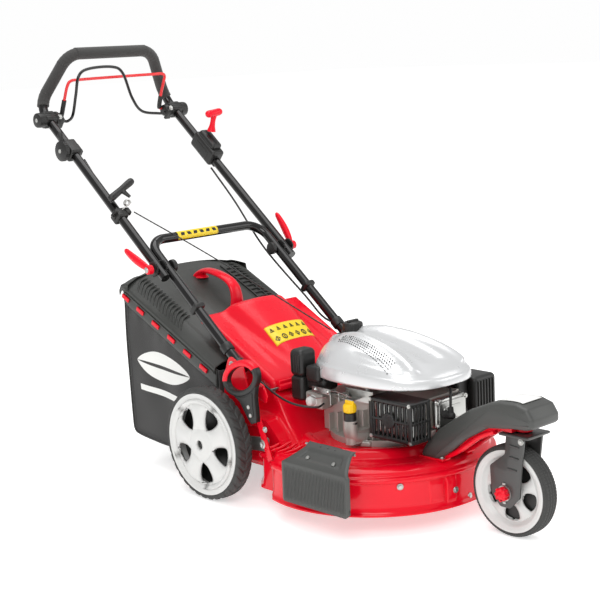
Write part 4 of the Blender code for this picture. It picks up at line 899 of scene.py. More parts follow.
def coverPoint(turn, rise, out=0.0):
    # rounded-box dome: superellipse in plan and in side view; rise 0 at the hem, 1 at the crown
    (cx, cy), (hx, hy), low, high = engine["cover"]
    a = rise * pi / 2
    width, height = np.cos(a) ** engine["crown"], np.sin(a) ** engine["plan"]
    c, s = np.cos(turn), np.sin(turn)
    x = np.sign(c) * np.abs(c) ** engine["plan"] * hx * width
    y = np.sign(s) * np.abs(s) ** engine["plan"] * hy * width
    z = low + (high - low) * height
    # the crown leans down towards the front, and a blunt nose pushes out of the front left
    z = z - 0.034 * np.clip(0.25 - y / hy, 0, 1.25) ** 1.3 * height
    nose = np.exp(-((turn - math.radians(-62)) / 0.42) ** 2) * np.cos(a) ** 0.8
    x, y = x + 0.01 * nose * c, y + 0.004 * nose * s
    direction = unit(np.stack([x / hx**2, y / hy**2, (height + 0.05) / 0.16 + 0 * x], -1))
    return np.stack([cx + x, cy + y, z], -1) + direction * np.asarray(out)[..., None]


def makeEngineCover():
    turn = (np.arange(180) * 2 * pi / 180 - pi)[None]
    rise = np.linspace(0, 1, 80)[:, None]
    turn, rise = np.broadcast_arrays(turn, rise)
    flat = coverPoint(turn, rise)
    x, y = flat[..., 0], flat[..., 1]
    # two flowing ridges from the rear right to the front, and a valley between them
    ridge = (np.exp(-((x - 0.045 + 0.25 * (y + 0.305)) / 0.014) ** 2)
             + np.exp(-((x + 0.052 - 0.16 * (y + 0.305)) / 0.013) ** 2))
    ridge = ridge * np.clip((rise - 0.28) / 0.1, 0, 1)
    valley = np.exp(-((x + 0.008 + 0.08 * (y + 0.305)) / 0.03) ** 4) * np.clip((rise - 0.5) / 0.1, 0, 1)
    # stepped hem: a band that stands proud round the foot
    band = 1 / (1 + np.exp((rise - 0.16) / 0.008))
    # recessed cooling field on the right shoulder
    field = np.exp(-((turn + pi * 0.93) / 0.55) ** 4 - ((rise - 0.42) / 0.1) ** 4)
    points = coverPoint(turn, rise, 0.0085 * ridge - 0.006 * valley + 0.0028 * band - 0.0022 * field)
    # a round boss where the rope comes out
    piece("engineShroud", gridShape(points, closeV=True), "silverPaintedAbs", "chassis", ["engine_cover"],
          wall=0.0026, angle=60)
    # rows of dark discs across the top and round the right shoulder: painted shade where the vent holes are
    ventShadeDiscs = []
    for row in range(5):
        count = 26
        yy = np.linspace(-0.405, -0.225, count) + 0.0035 * (row % 2)
        xx = -0.098 + 0.0062 * row + 0.16 * (yy + 0.305)
        (cx, cy), (hx, hy), *_ = engine["cover"]
        plan = engine["plan"]
        # find the dome over each hole by the inverse of the superellipse plan
        a, b = (xx - cx) / hx, (yy - cy) / hy
        turnAt = np.arctan2(np.sign(b) * np.abs(b) ** (1 / plan), np.sign(a) * np.abs(a) ** (1 / plan))
        widthAt = np.sqrt(np.abs(a) ** (2 / plan) + np.abs(b) ** (2 / plan)) ** plan
        riseAt = np.arccos(np.clip(widthAt, 0, 1) ** (1 / engine["crown"])) * 2 / pi
        p = coverPoint(turnAt, riseAt)
        q = coverPoint(turnAt + 0.01, riseAt) - p
        w = coverPoint(turnAt, riseAt + 0.01) - p
        q, n = unit(q), unit(np.cross(q, w))
        n = n * np.sign(n[:, 2:3])
        w = np.cross(n, q)
        t = np.arange(10) * 2 * pi / 10
        ring = p[:, None] + 0.0014 * (np.cos(t)[None, :, None] * q[:, None] + np.sin(t)[None, :, None] * w[:, None])
        disc = ring + n[:, None] * 0.0008
        ventShadeDiscs.append((disc.reshape(-1, 3), [list(range(10 * k, 10 * k + 10)) for k in range(count)]))
    piece("shroudVentShade", together(*ventShadeDiscs), "paintedOpeningShade", "chassis", wall=0.0012)
    refine("fuel_tank", "blackNylon", 0.004)
    # ribbed filler cap
    t = np.arange(144)[None] * 2 * pi / 144
    profile = np.array([(0.0, 0.422), (0.012, 0.422), (0.0135, 0.4208), (0.0165, 0.4212), (0.0195, 0.4208),
                        (0.0232, 0.4185), (0.0245, 0.415),
                        (0.0245, 0.401), (0.0238, 0.399), (0.02, 0.3985), (0.0, 0.3985)])
    r = profile[:, :1] * (1 - 0.03 * (np.cos(t * 24) > 0) * (profile[:, :1] > 0.024))
    cap = np.stack([0.011 + r * np.cos(t), -0.177 + r * np.sin(t), profile[:, 1:] + 0 * t], -1)
    piece("fillerCap", gridShape(cap, closeV=True), "blackNylon", "fuel_cap", ["fuel_cap"])
    piece("fillerCapBar", boxShape((-0.006, -0.1815, 0.42), (0.028, -0.1725, 0.4258), 0.002), "blackNylon",
          "fuel_cap")
    piece("fillerSeal", latheShape([(0.0205, 0.4), (0.0265, 0.4), (0.0285, 0.3975), (0.0285, 0.39),
                                    (0.0205, 0.39)], (0.011, -0.177, 0),
                                   segments=64, closed=True), "softRubber", "chassis")
    # rope eyelet at the shroud's rear
    eyelet = latheShape([(0.0035, 0.004), (0.0075, 0.004), (0.009, 0.0015), (0.0095, -0.003), (0.0035, -0.003)],
                        (0, 0, 0), segments=40, closed=True)
    turnTo = Vector((-0.15, 0.75, 0.55)).to_track_quat("Z", "Y").to_matrix()
    piece("ropeEyelet", moved(eyelet, turnTo, (0.008, -0.128, 0.38)), "blackNylon", "chassis")


def makeEngineBlock():
    refine("engine_block", "castAluminium", 0.0022)
    refine("valve_cover", "zincPlate", 0)
    refine("muffler", "heatProofEnamel", 0)
    refine("carburettor", "castAluminium", 0.0015)
    cx, cy = 0.0, -0.276
    # bolted foot with ears, under the crankcase
    ears = [moved(boxShape((0.088, -0.013, 0.1656), (0.132, 0.013, 0.179), 0.004),
                  Matrix.Rotation(math.radians(a), 3, "Z"), (cx, cy, 0))
            for a in (35, 118, 205, 262, 318)]
    bolts = []
    for a in (35, 118, 205, 262, 318):
        t = math.radians(a)
        bolts.append(boltShape((cx + 0.118 * math.cos(t), cy + 0.118 * math.sin(t), 0.1795), (0, 0, 1), 0.006, 0.005))
    # cast webs on the crankcase's right side, and ribs under the filler
    webs = [boxShape((-0.1, -0.338 + 0.028 * k, 0.176), (-0.083, -0.334 + 0.028 * k, 0.25 - 0.006 * k),
                     0.0012) for k in range(6)]
    piece("engineFoot", together(*ears, *webs), "castAluminium", "chassis")
    # fine cooling fins round the cylinder
    fins = [boxShape((-0.0585, -0.4535, 0.2065 + 0.0068 * k), (0.0785, -0.348, 0.2083 + 0.0068 * k), 0.0007,
                     1) for k in range(11)]
    piece("coolingFins", together(*fins), "castAluminium", "chassis")
    # valve cover: stepped face, bead and four screws
    face = roundedOutline([(-0.028, 0.219), (0.063, 0.219), (0.063, 0.273), (-0.028, 0.273)], 0.008)
    bead = slabShape(face, -0.4815, -0.4775, 0.0015, "xz")
    inner = slabShape(roundedOutline([(-0.014, 0.23), (0.049, 0.23), (0.049, 0.262), (-0.014, 0.262)], 0.01),
                      -0.4832, -0.481, 0.0012, "xz")
    piece("valveCoverFace", together(bead, inner), "zincPlate", "chassis")
    bolts += [boltShape((x, -0.479, z), (0, -1, 0), 0.0045, 0.004) for x in (-0.0295, 0.0645) for z in (0.2195,
            0.2725)]
    piece("engineBolts", together(*bolts), "zincPlate", "chassis")
    # plug: ridged insulator and rubber boot, both in soft rubber, lead looping back to the coil
    px, pz = -0.01, 0.245
    plug = latheShape([(0.0, 0.03), (0.006, 0.03), (0.0085, 0.026), (0.0095, 0.018), (0.0088, 0.008),
                       (0.0098, 0.006), (0.0098, 0.0), (0, 0)],
                      (0, 0, 0), segments=32)
    toFront = Vector((0, -1, 0)).to_track_quat("Z", "Y").to_matrix()
    elbow = tubeShape(smoothPath([(px, -0.498, pz - 0.002), (px, -0.4995, pz + 0.008), (px, -0.4985, pz + 0.019)],
                                 12), 0.0066, 18)
    piece("plugBoot", together(moved(plug, toFront, (px, -0.4782, pz)), elbow), "softRubber", "chassis",
          ["spark_plug"])
    lead = smoothPath([(px, -0.4985, pz + 0.016), (px + 0.004, -0.496, 0.282), (px + 0.02, -0.482, 0.298),
                       (px + 0.036, -0.452, 0.305),
                       (px + 0.044, -0.42, 0.303)], 40)
    piece("plugLead", tubeShape(lead, 0.0031, 14), "softRubber", "chassis")
    # dipstick: ribbed yellow knob over a black collar on the silver boss
    t = np.arange(96)[None] * 2 * pi / 96
    profile = np.array([(0.0, 0.272), (0.01, 0.272), (0.0135, 0.2705), (0.0156, 0.2665), (0.0158, 0.258),
                        (0.015, 0.253), (0.011, 0.25),
                        (0.0, 0.2495)])
    r = profile[:, :1] * (1 - 0.045 * (np.cos(t * 12) > 0.2) * (profile[:, :1] > 0.0145))
    knob = np.stack([-0.145 + r * np.cos(t), -0.313 + r * np.sin(t), profile[:, 1:] + 0 * t], -1)
    piece("dipstickKnob", gridShape(knob, closeV=True), "yellowNylon", "dipstick", ["oil_dipstick"])
    grip = boxShape((-0.1475, -0.3265, 0.269), (-0.1425, -0.2995, 0.2785), 0.0022)
    piece("dipstickGrip", grip, "yellowNylon", "dipstick")
    collar = latheShape([(0.0, 0.25), (0.0132, 0.25), (0.0145, 0.2485), (0.0145, 0.23), (0.0165, 0.2285),
                         (0.0165, 0.224), (0, 0.224)],
                        (-0.145, -0.313, 0), segments=48)
    piece("fillerCollar", collar, "blackNylon", "chassis")
    elbow = tubeShape(smoothPath([(-0.145, -0.313, 0.232), (-0.145, -0.313, 0.208), (-0.136, -0.313, 0.192),
                                  (-0.105, -0.313, 0.186)], 24), 0.0165, 28, side=(0, 1, 0))
    piece("fillerElbow", elbow, "castAluminium", "chassis")


def makeMufflerGuard():
    # a pressed box with deep slots; bars between the slots stand proud
    x0, x1, y0, y1, z0, z1 = -0.126, -0.061, -0.484, -0.354, 0.196, 0.291
    t = 0.003
    shapes = [boxShape((x0, y0, z1 - 0.01), (x1, y1, z1), 0.003),
              boxShape((x0, y0, z0), (x1, y1, z0 + 0.01), 0.003),
              boxShape((x0, y0, z0), (x0 + t * 2, y0 + 0.012, z1), 0.0025),
              boxShape((x0, y1 - 0.01, z0), (x0 + t * 2, y1, z1), 0.0025),
              boxShape((x1 - 0.006, y0, z0), (x1, y0 + 0.006, z1), 0.0012)]
    for k in range(8):
        y = y0 + 0.017 + 0.0138 * k
        shapes.append(boxShape((x0 + 0.0004, y, z0 + 0.006), (x0 + 0.0055, y + 0.005, z1 - 0.006), 0.0015))
    shapes.append(boxShape((x0, y0 + 0.006, 0.24), (x0 + 0.005, y1 - 0.006, 0.247), 0.0015))
    for k in range(5):
        x = x0 + 0.011 + 0.011 * k
        shapes.append(boxShape((x, y0 - 0.0008, z0 + 0.006), (x + 0.0045, y0 + 0.004, z1 - 0.006), 0.0012))
    shapes.append(boxShape((x0 + 0.006, y0 - 0.0006, 0.24), (x1, y0 + 0.004, 0.2465), 0.0012))
    piece("mufflerGuardGrille", together(*shapes), "heatProofEnamel", "chassis", ["muffler_guard"])
    piece("mufflerShell", boxShape((x0 + 0.008, y0 + 0.008, z0 + 0.008), (x1, y1 - 0.008, z1 - 0.008), 0.012, 5),
          "zincPlate", "chassis")
    # a plain round boss with spiral vanes in the middle of the grille
    cy, cz = -0.414, 0.2435
    vanes = []
    for k in range(6):
        a = np.linspace(0, 1.5, 12) + k * pi / 3
        r = np.linspace(0.003, 0.014, 12)
        vanes.append(tubeShape(np.stack([0 * a + x0 - 0.0006, cy + r * np.cos(a), cz + r * np.sin(a)], -1), 0.0011,
                               8))
    disc = latheShape([(0, -0.0012), (0.0165, -0.0012), (0.018, 0.0), (0.018, 0.0045), (0, 0.0045)], (x0, cy, cz),
                      "X", 48)
    piece("guardBoss", together(disc, *vanes), "heatProofEnamel", "chassis")
    screws = [boltShape((x0 - 0.0002, y, z), (-1, 0, 0), 0.0032, 0.0022) for y in (y0 + 0.006,
            y1 - 0.006) for z in (z0 + 0.005, z1 - 0.005)]
    piece("guardScrews", together(*screws), "zincPlate", "chassis")


def makeIntake():
    # air cleaner: two-part box with a clip and ribs, over a choke plate, links and a priming bulb
    box = together(
        boxShape((-0.131, -0.1415, 0.2455), (-0.079, -0.0985, 0.306), 0.01, 5),
        boxShape((-0.132, -0.142, 0.304), (-0.078, -0.098, 0.37), 0.013, 5),
        *[boxShape((-0.1335, -0.136 + 0.0088 * k, 0.315), (-0.129, -0.133 + 0.0088 * k, 0.358),
                   0.0012) for k in range(4)],
        boxShape((-0.114, -0.1435, 0.296), (-0.096, -0.14, 0.316), 0.0014),
    )
    piece("airCleaner", box, "blackNylon", "chassis", ["air_filter_box"])
    housing = together(
        boxShape((-0.118, -0.205, 0.2765), (-0.07, -0.14, 0.308), 0.009, 4),
        boxShape((-0.128, -0.196, 0.298), (-0.082, -0.15, 0.336), 0.008, 4),
        boxShape((0.12, -0.462, 0.214), (0.2, -0.36, 0.3), 0.012, 4),
        boxShape((0.085, -0.44, 0.2), (0.125, -0.33, 0.305), 0.008, 4),
    )
    piece("blowerHousing", housing, "blackNylon", "chassis")
    fins = [boxShape((0.1965, -0.452 + 0.012 * k, 0.226), (0.2035, -0.448 + 0.012 * k, 0.292),
                     0.001) for k in range(8)]
    fins += [boxShape((0.13 + 0.0105 * k, -0.465, 0.226), (0.134 + 0.0105 * k, -0.46, 0.29),
                      0.001) for k in range(6)]
    piece("blowerRibs", together(*fins), "blackNylon", "chassis")
    bulb = latheShape([(0, -0.1425), (0.006, -0.142), (0.0105, -0.1385), (0.012, -0.132), (0.012, -0.1265),
                       (0.0145, -0.1255), (0.0145, -0.1225), (0, -0.1225)],
                      (0, -0.17, 0.252), "X", 40)
    piece("primerBulb", bulb, "whiteNylon", "chassis")
    plates = together(
        boxShape((-0.132, -0.238, 0.276), (-0.128, -0.176, 0.29), 0.001),
        boxShape((-0.132, -0.238, 0.252), (-0.112, -0.234, 0.29), 0.001),
        boxShape((-0.128, -0.262, 0.264), (-0.094, -0.2585, 0.284), 0.001),
        boxShape((-0.122, -0.3, 0.27), (-0.088, -0.236, 0.2725), 0.001),
        boxShape((-0.096, -0.34, 0.262), (-0.093, -0.25, 0.292), 0.001),
        tubeShape([(-0.133, -0.226, 0.27), (-0.133, -0.19, 0.262), (-0.13, -0.16, 0.266)], 0.0013, 8),
        tubeShape([(-0.126, -0.3, 0.28), (-0.13, -0.26, 0.288), (-0.13, -0.205, 0.285)], 0.0012, 8),
    )
    turn = np.linspace(0, 12 * 2 * pi, 240)
    spring = np.stack([-0.126 + 0.0036 * np.cos(turn), -0.29 + 0.052 * turn / turn[-1],
                       0.278 + 0.0036 * np.sin(turn)], -1)
    bolts = [boltShape(p, axis, 0.0042, 0.0035) for p,
             axis in (((-0.132, -0.186, 0.283), (-1, 0, 0)), ((-0.132, -0.228, 0.283), (-1, 0, 0)),
             ((-0.104, -0.263, 0.274), (0, -1, 0)), ((-0.09, -0.318, 0.2925), (-1, 0, 0.3)),
             ((-0.0875, -0.2, 0.262), (-1, 0, 0)))]
    piece("governorPlates", together(plates, tubeShape(spring, 0.0007, 6), *bolts), "zincPlate", "chassis")


makeEngineCover()
makeEngineBlock()
makeMufflerGuard()
makeIntake()
for node, look in (("crankshaft", "zincPlate"), ("flywheel", "castAluminium"), ("drive_pulley", "zincPlate"),
                   ("blade_adapter", "castAluminium"),
                   ("blade", "zincPlate"), ("blade_bolt", "zincPlate"), ("drive_belt", "softRubber"),
                   ("gearbox", "castAluminium"),
                   ("rear_axle", "zincPlate"), ("handle_bracket_right", "powderCoatedSteel"),
                   ("handle_bracket_left", "powderCoatedSteel")):
    refine(node, look, 0.0008)
print("engine made")


# height lever: pressed bar, ring grip with a red insert
heightLever = {"centre": (-0.058, 0.314), "lean": math.radians(22)}


def leverPoint(along, up):
    # along runs across the lever, up away from the ground, in the lever's own plane
    y, z = heightLever["centre"]
    s = heightLever["lean"]
    return y + along * math.cos(s) + up * math.sin(s), z + up * math.cos(s) - along * math.sin(s)


def ringPart(first, last, outer, inner, count, swell):
    # oval ring: at each turn a rounded section between the inner and outer ovals
    turn = np.linspace(first, last, count)[:, None]
    t = (np.arange(24) * 2 * pi / 24)[None]
    radial = np.sign(np.cos(t)) * np.abs(np.cos(t)) ** 0.6
    across = np.sign(np.sin(t)) * np.abs(np.sin(t)) ** 0.6
    a = (outer[0] + inner[0]) / 2 + radial * ((outer[0] - inner[0]) / 2 + swell)
    b = (outer[1] + inner[1]) / 2 + radial * ((outer[1] - inner[1]) / 2 + swell)
    y, z = leverPoint(a * np.cos(turn), b * np.sin(turn))
    x = -0.246 + across * (0.0098 + swell)
    return np.stack([x + 0 * y, y, z], -1)


def makeHeightLever():
    # an oval ring on a tapering stem, with a red arch let into the ring
    refine("height_lever", "powderCoatedSteel", 0.001)
    ring = gridShape(ringPart(0, 2 * pi * 95 / 96, (0.066, 0.042), (0.05, 0.027), 96, 0), closeU=True, closeV=True)
    stem = [leverPoint(*p) for p in ((-0.052, -0.02), (-0.03, -0.052), (-0.014, -0.1), (-0.009, -0.11),
                                     (0.011, -0.11), (0.016, -0.1),
                                     (0.028, -0.052), (0.052, -0.02), (0.036, -0.0245), (0.0, -0.0285),
                                     (-0.036, -0.0245))]
    body = slabShape(roundedOutline(stem, 0.003, 3), -0.2525, -0.2378, 0.0025)
    panel = [leverPoint(*p) for p in ((-0.03, -0.04), (-0.018, -0.064), (-0.008, -0.096), (0.009, -0.096),
                                      (0.018, -0.064), (0.03, -0.04), (0.0, -0.044))]
    raised = slabShape(roundedOutline(panel, 0.003, 3), -0.2545, -0.2505, 0.0015)
    piece("leverGrip", together(ring, body, raised), "blackNylon", "height_axle", ["height_lever_grip"])
    insert = ringPart(math.radians(14), math.radians(166), (0.066, 0.042), (0.051, 0.028), 60, 0.0009)
    shape = gridShape(insert, closeV=True)
    shape = (shape[0], shape[1] + [list(range(24))[::-1], list(range(59 * 24, 60 * 24))])
    piece("leverInsert", shape, "mouldedRedAbs", "height_axle")
    screws = []
    for along, up in ((-0.002, -0.07), (0.0, -0.09)):
        y, z = leverPoint(along, up)
        screws.append(boltShape((-0.2546, y, z), (-1, 0, 0), 0.0034, 0.0022))
    screws.append(boltShape((-0.2378, -0.108, 0.16), (-1, 0, 0), 0.008, 0.0055))
    screws.append(boltShape((-0.2378, -0.122, 0.198), (-1, 0, 0), 0.005, 0.004))
    piece("leverScrews", together(*screws), "zincPlate", "height_axle")


# grass bag: a sewn sack under a stiff lid
bag = {"half": 0.195, "rows": 90, "lidHalf": 0.204}


def bagSide(y, z):
    # how far the side cloth hangs in between its seams: deepest at mid height, with soft folds
    top = lidEdgeZ(y)
    height = np.clip((z - 0.075) / np.maximum(top - 0.075, 0.01), 0, 1)
    span = np.clip((y - 0.09) / 0.36, 0, 1)
    hang = np.sin(pi * height) ** 0.9 * np.sin(pi * np.clip(span, 0, 1)) ** 0.7
    fold = 0.0032 * np.sin(z * 34 + y * 13 + 1.2 * np.sin(y * 17)) + 0.0024 * np.sin(y * 41 - z * 15 + 0.8)
    pucker = 0.0018 * np.sin(y * 150 + 2 * np.sin(z * 20)) * np.exp(-((height - 0.93) / 0.1) ** 2)
    return hang * (fold - 0.006) + pucker


def makeBag(b):
    # outline in side view, from the front top round the bottom to the back top
    outline = smoothPath([(0, 0.0845, 0.303), (0, 0.0845, 0.26), (0, 0.09, 0.213), (0, 0.106, 0.196),
                          (0, 0.16, 0.173), (0, 0.198, 0.132),
                          (0, 0.232, 0.088), (0, 0.262, 0.076), (0, 0.31, 0.0725), (0, 0.37, 0.0765),
                          (0, 0.43, 0.083), (0, 0.4515, 0.093),
                          (0, 0.456, 0.125), (0, 0.459, 0.22), (0, 0.4615, 0.33), (0, 0.459, 0.42),
                          (0, 0.456, 0.478)], b["rows"])
    # each station is a band across the bag: side seam, gusset, side seam, with rounded corners
    t = np.linspace(-1, 1, 81)[None]
    y, z = outline[:, 1][:, None], outline[:, 2][:, None]
    middle = np.array([0.285, 0.275])
    inward = unit(np.stack([middle[0] - y, middle[1] - z], -1))
    belly = (1 - np.abs(t) ** 2.5) * (0.0055 * np.sin(z * 47 + t * 2.2) + 0.004 * np.sin(t * 6 + y * 31))
    low = np.clip((0.14 - z) / 0.06, 0, 1)
    belly = belly - low * (1 - t ** 2) * 0.0
    x = b["half"] * np.sign(t) * np.abs(t) ** 0.92
    band = np.stack([x + 0 * y, y - inward[..., 0] * belly * 0.6, z - inward[..., 1] * belly * 0.6], -1)
    band[..., 1] = np.minimum(band[..., 1], 0.4625)
    band[..., 2] = np.maximum(band[..., 2], 0.0722)
    piece("bagGusset", gridShape(band), "wovenPolyester", "grass_bag", ["grass_bag"], wall=0.0012, offset=0.0,
          angle=75)
    # side cloths: rings of the same outline drawn in towards the middle
    steps = np.linspace(0, 1, 44)[:, None]
    closed = np.concatenate([outline[:, 1:], np.stack([np.linspace(0.456, 0.0845, 60)[1:-1],
                                                       lidEdgeZ(np.linspace(0.456, 0.0845, 60)[1:-1]) - 0.006], -1)])
    for side, word in ((-1, "Right"), (1, "Left")):
        yy = closed[:, 0][None] + (middle[0] - closed[:, 0])[None] * steps
        zz = closed[:, 1][None] + (middle[1] - closed[:, 1])[None] * steps
        xx = side * (b["half"] + bagSide(yy, zz))
        piece("bagSide" + word, gridShape(np.stack([xx, yy, zz], -1), closeV=True), "wovenPolyester", "grass_bag",
              wall=0.0012, offset=0.0, angle=75)
        # piping sewn along the edge of the side, and a doubled hem inside it
        lift = np.full(len(outline), side * (b["half"] + 0.0012))
        piping = np.stack([lift, outline[:, 1], outline[:, 2]], -1)
        piece("bagPiping" + word, tubeShape(piping, 0.0028, 10, side=(1, 0, 0)), "pipingTape", "grass_bag")
        seam = []
        for depth in (0.045, 0.06):
            yy = outline[:, 1] + (middle[0] - outline[:, 1]) * depth
            zz = outline[:, 2] + (middle[1] - outline[:, 2]) * depth
            seam.append(tubeShape(np.stack([side * (b["half"] + bagSide(yy, zz) + 0.0004), yy, zz], -1), 0.0007, 6,
                                  side=(1, 0, 0)))
        rows = np.linspace(0.1, 0.445, 70)
        band = np.stack([side * (b["half"] + bagSide(rows, lidEdgeZ(rows) - 0.03) + 0.0006), rows,
                         lidEdgeZ(rows) - 0.03], -1)
        seam.append(tubeShape(band, 0.0007, 6, side=(1, 0, 0)))
        piece("bagSeams" + word, together(*seam), "pipingTape", "grass_bag")
    # a plain white device on the right side: a broad leaf shape over a bar, no lettering
    for k, (y0, y1, z0, z1, tilt) in enumerate(((0.215, 0.425, 0.225, 0.305, 0.1),
                                                (0.245, 0.415, 0.19, 0.206, 0.1))):
        u, v = np.meshgrid(np.linspace(0, 1, 48), np.linspace(-1, 1, 17), indexing="ij")
        yy = y0 + (y1 - y0) * u
        half = (z1 - z0) / 2 * (np.sin(pi * np.clip(u, 0.0, 1)) ** 0.7 if k == 0 else 1.0 + 0 * u)
        zz = (z0 + z1) / 2 + v * half + tilt * (yy - y0)
        xx = -(b["half"] + bagSide(yy, zz) + 0.0011)
        keep = None
        if k == 0:
            # a curved vein splits the leaf
            mid = np.abs(v[:-1, :-1] + v[1:, 1:]) / 2
            keep = mid > 0.1
        piece(f"bagDevice{k}", gridShape(np.stack([xx, yy, zz], -1), keep=keep), "screenInkWhite", "grass_bag")


def lidTop(across, y, lift=0.0):
    # crown across the lid: a flattened arch that fades at the back edge
    crown = np.interp(y, [0.092, 0.17, 0.26, 0.35, 0.42, 0.468, 0.492, 0.5],
                      [0.028, 0.034, 0.036, 0.037, 0.036, 0.028, 0.012, -0.012])
    drop = np.interp(y, [0.468, 0.492, 0.5], [0, 0.004, 0.016])
    bulge = np.where(y < 0.455, 0, -0.03 * across**2) * np.clip((y - 0.44) / 0.02, 0, 1)
    z = lidEdgeZ(np.minimum(y, 0.462)) - drop + crown * (1 - np.abs(across) ** 3) + lift
    return np.stack([bag["lidHalf"] * across + 0 * z, y + bulge + 0 * z, z], -1)


def makeLid():
    # top skin with a raised rim, a swept shoulder line and a skirt that turns down over the cloth
    a, y = np.meshgrid(np.linspace(-1, 1, 121), np.interp(np.linspace(0, 1, 120), [0, 0.9, 1], [0.092, 0.484, 0.5]),
                       indexing="ij")
    step = 0.0035 / (1 + np.exp(-(np.abs(a) - (0.8 - 0.1 * (y - 0.1))) * 70)) - 0.0035
    panel = 0.0022 / (1 + np.exp((np.abs(a) - 0.4) * 60)) * (1 / (1 + np.exp((y - 0.4) * 120)))
    top = lidTop(a, y, step + panel - 0.0002)
    first, last = top[:1].copy(), top[-1:].copy()
    rings = []
    for edge, side in ((first, -1), (last, 1)):
        rolled = edge + np.array([side * 0.0012, 0, -0.004])
        low = edge + np.array([side * 0.001, 0, -0.016])
        rings.append((rolled, low))
    points = np.concatenate([rings[0][1], rings[0][0], top, rings[1][0], rings[1][1]])
    piece("lidShell", gridShape(points), "charcoalPolypropylene", "grass_bag", ["bag_lid"], wall=0.0024, angle=60)
    # curved ribs swept over the right-hand shoulder, and their mates on the left
    ribs, louvreShade = [], []
    for k in range(15):
        y0 = 0.236 + 0.0122 * k
        s = np.linspace(0, 1, 14)
        for side in (-1, 1):
            line = lidTop(side * (0.93 - 0.24 * s), y0 + 0.022 * s + 0.01 * np.sin(pi * s),
                          -0.0026 + 0.001 * np.sin(pi * s))
            line[:, 2] += 0.0026
            ribs.append(tubeShape(line, 0.0034 * np.sin(pi * np.clip(s, 0.06, 0.94)) ** 0.5, 10, side=(0, 1, 0)))
    piece("lidRibs", together(*ribs), "charcoalPolypropylene", "grass_bag")
    # dark louvres behind the carrying handle's left side, where the air gets out: black bars and two black rails laid
    # on the lid as painted shade for the vent openings
    for k in range(17):
        y0 = 0.135 + 0.0165 * k
        s = np.linspace(0, 1, 8)
        line = lidTop(0.5 + 0.16 * s, y0 + 0.01 * s, -0.0016)
        louvreShade.append(tubeShape(line, 0.0036, 8, side=(0, 1, 0), flat=0.6))
    t = np.linspace(0, 1, 40)
    for across in (0.485, 0.675):
        louvreShade.append(tubeShape(lidTop(across + 0 * t, 0.125 + 0.29 * t, -0.001), 0.0022, 8))
    piece("lidLouvreShade", together(*louvreShade), "blackNylon", "grass_bag")
    # the skirt's beads and the red spring clips along both sides
    beads, clips = [], []
    t = np.linspace(0.096, 0.462, 60)
    for side in (-1, 1):
        edge = lidTop(np.array(side * 1.0), t, 0)
        edge[:, 0] = side * (bag["lidHalf"] + 0.0016)
        beads.append(tubeShape(edge + np.array([0, 0, -0.0148]), 0.0018, 8))
        for y0 in (0.128, 0.19, 0.252, 0.314, 0.376, 0.436):
            z0 = lidEdgeZ(y0)
            x = side * (bag["lidHalf"] + 0.001)
            clips.append(moved(boxShape((-0.0022, -0.015, -0.0345), (0.0022, 0.015, -0.0225), 0.0018),
                               Matrix.Rotation(math.atan(0.478), 3, "X"), (x - side * 0.003, y0, z0)))
    # a stiff band hugs the cloth below the skirt
    bands = []
    yy, drop = np.meshgrid(np.linspace(0.092, 0.46, 60), np.linspace(0.01, 0.052, 8), indexing="ij")
    for side in (-1, 1):
        bands.append(gridShape(np.stack([side * (0.1995 - 0.0015 * np.clip((drop - 0.044) / 0.008, 0, 1)) + 0 * yy,
                                         yy, lidEdgeZ(yy) - drop], -1)))
    piece("lidBand", together(*bands), "charcoalPolypropylene", "grass_bag", wall=0.002, offset=-1.0)
    piece("lidBeads", together(*beads), "charcoalPolypropylene", "grass_bag")
    latch = boxShape((-0.036, 0.47, 0.4925), (0.036, 0.494, 0.501), 0.003)
    piece("lidClips", together(*clips, latch), "mouldedRedAbs", "grass_bag")
    # carrying arch: flat-topped, flared where it meets the lid
    path = smoothPath([(0, 0.392, 0.478), (0, 0.384, 0.489), (0, 0.366, 0.4985), (0, 0.34, 0.5015),
                       (0, 0.3, 0.4955), (0, 0.264, 0.484),
                       (0, 0.244, 0.467), (0, 0.2365, 0.442), (0, 0.236, 0.418)], 60)
    s = np.linspace(0, 1, len(path))
    flare = 0.0165 + 0.006 * np.abs(2 * s - 1) ** 3
    arch = tubeShape(path, flare, 30, side=(1, 0, 0), flat=0.46)
    feet = together(*[latheShape([(0, 0.004), (0.012, 0.004), (0.017, 0.001), (0.019, -0.003), (0, -0.003)], p,
                                 segments=32)
                      for p in ((0, 0.236, 0.421), (0, 0.376, 0.4845))])
    piece("bagCarryArch", together(arch, feet), "mouldedRedAbs", "grass_bag", ["bag_handle"])


# a duller, slightly warm charcoal with a moulded grain
makeLook("charcoalPolypropylene", "grey_plastic", "383a37", 0.45, grain=(0.0013, 0.0003), mottle=0.08)
# woven tape that binds the bag's edges
makeLook("pipingTape", "fabric", "222121", 0.8, sheen=0.2, grain=(0.0009, 0.0003), mottle=0.1)
# thick white ink printed on the cloth, a little broken by the weave
makeLook("screenInkWhite", "fabric", "e9e9e6", 0.75, grain=(0.0012, 0.0003), mottle=0.05)
makeHeightLever()
makeBag(bag)
makeLid()
print("bag made")


# handle
upperPath = bentPath([handlePoint(-mower["upperX"], 0.252), handlePoint(-mower["upperX"], 0.77),
                      np.array([-0.14, 0.722, 1.085]),
                      np.array([0.14, 0.722, 1.085]), handlePoint(mower["upperX"], 0.77),
                      handlePoint(mower["upperX"], 0.252)], 0.062, 20)


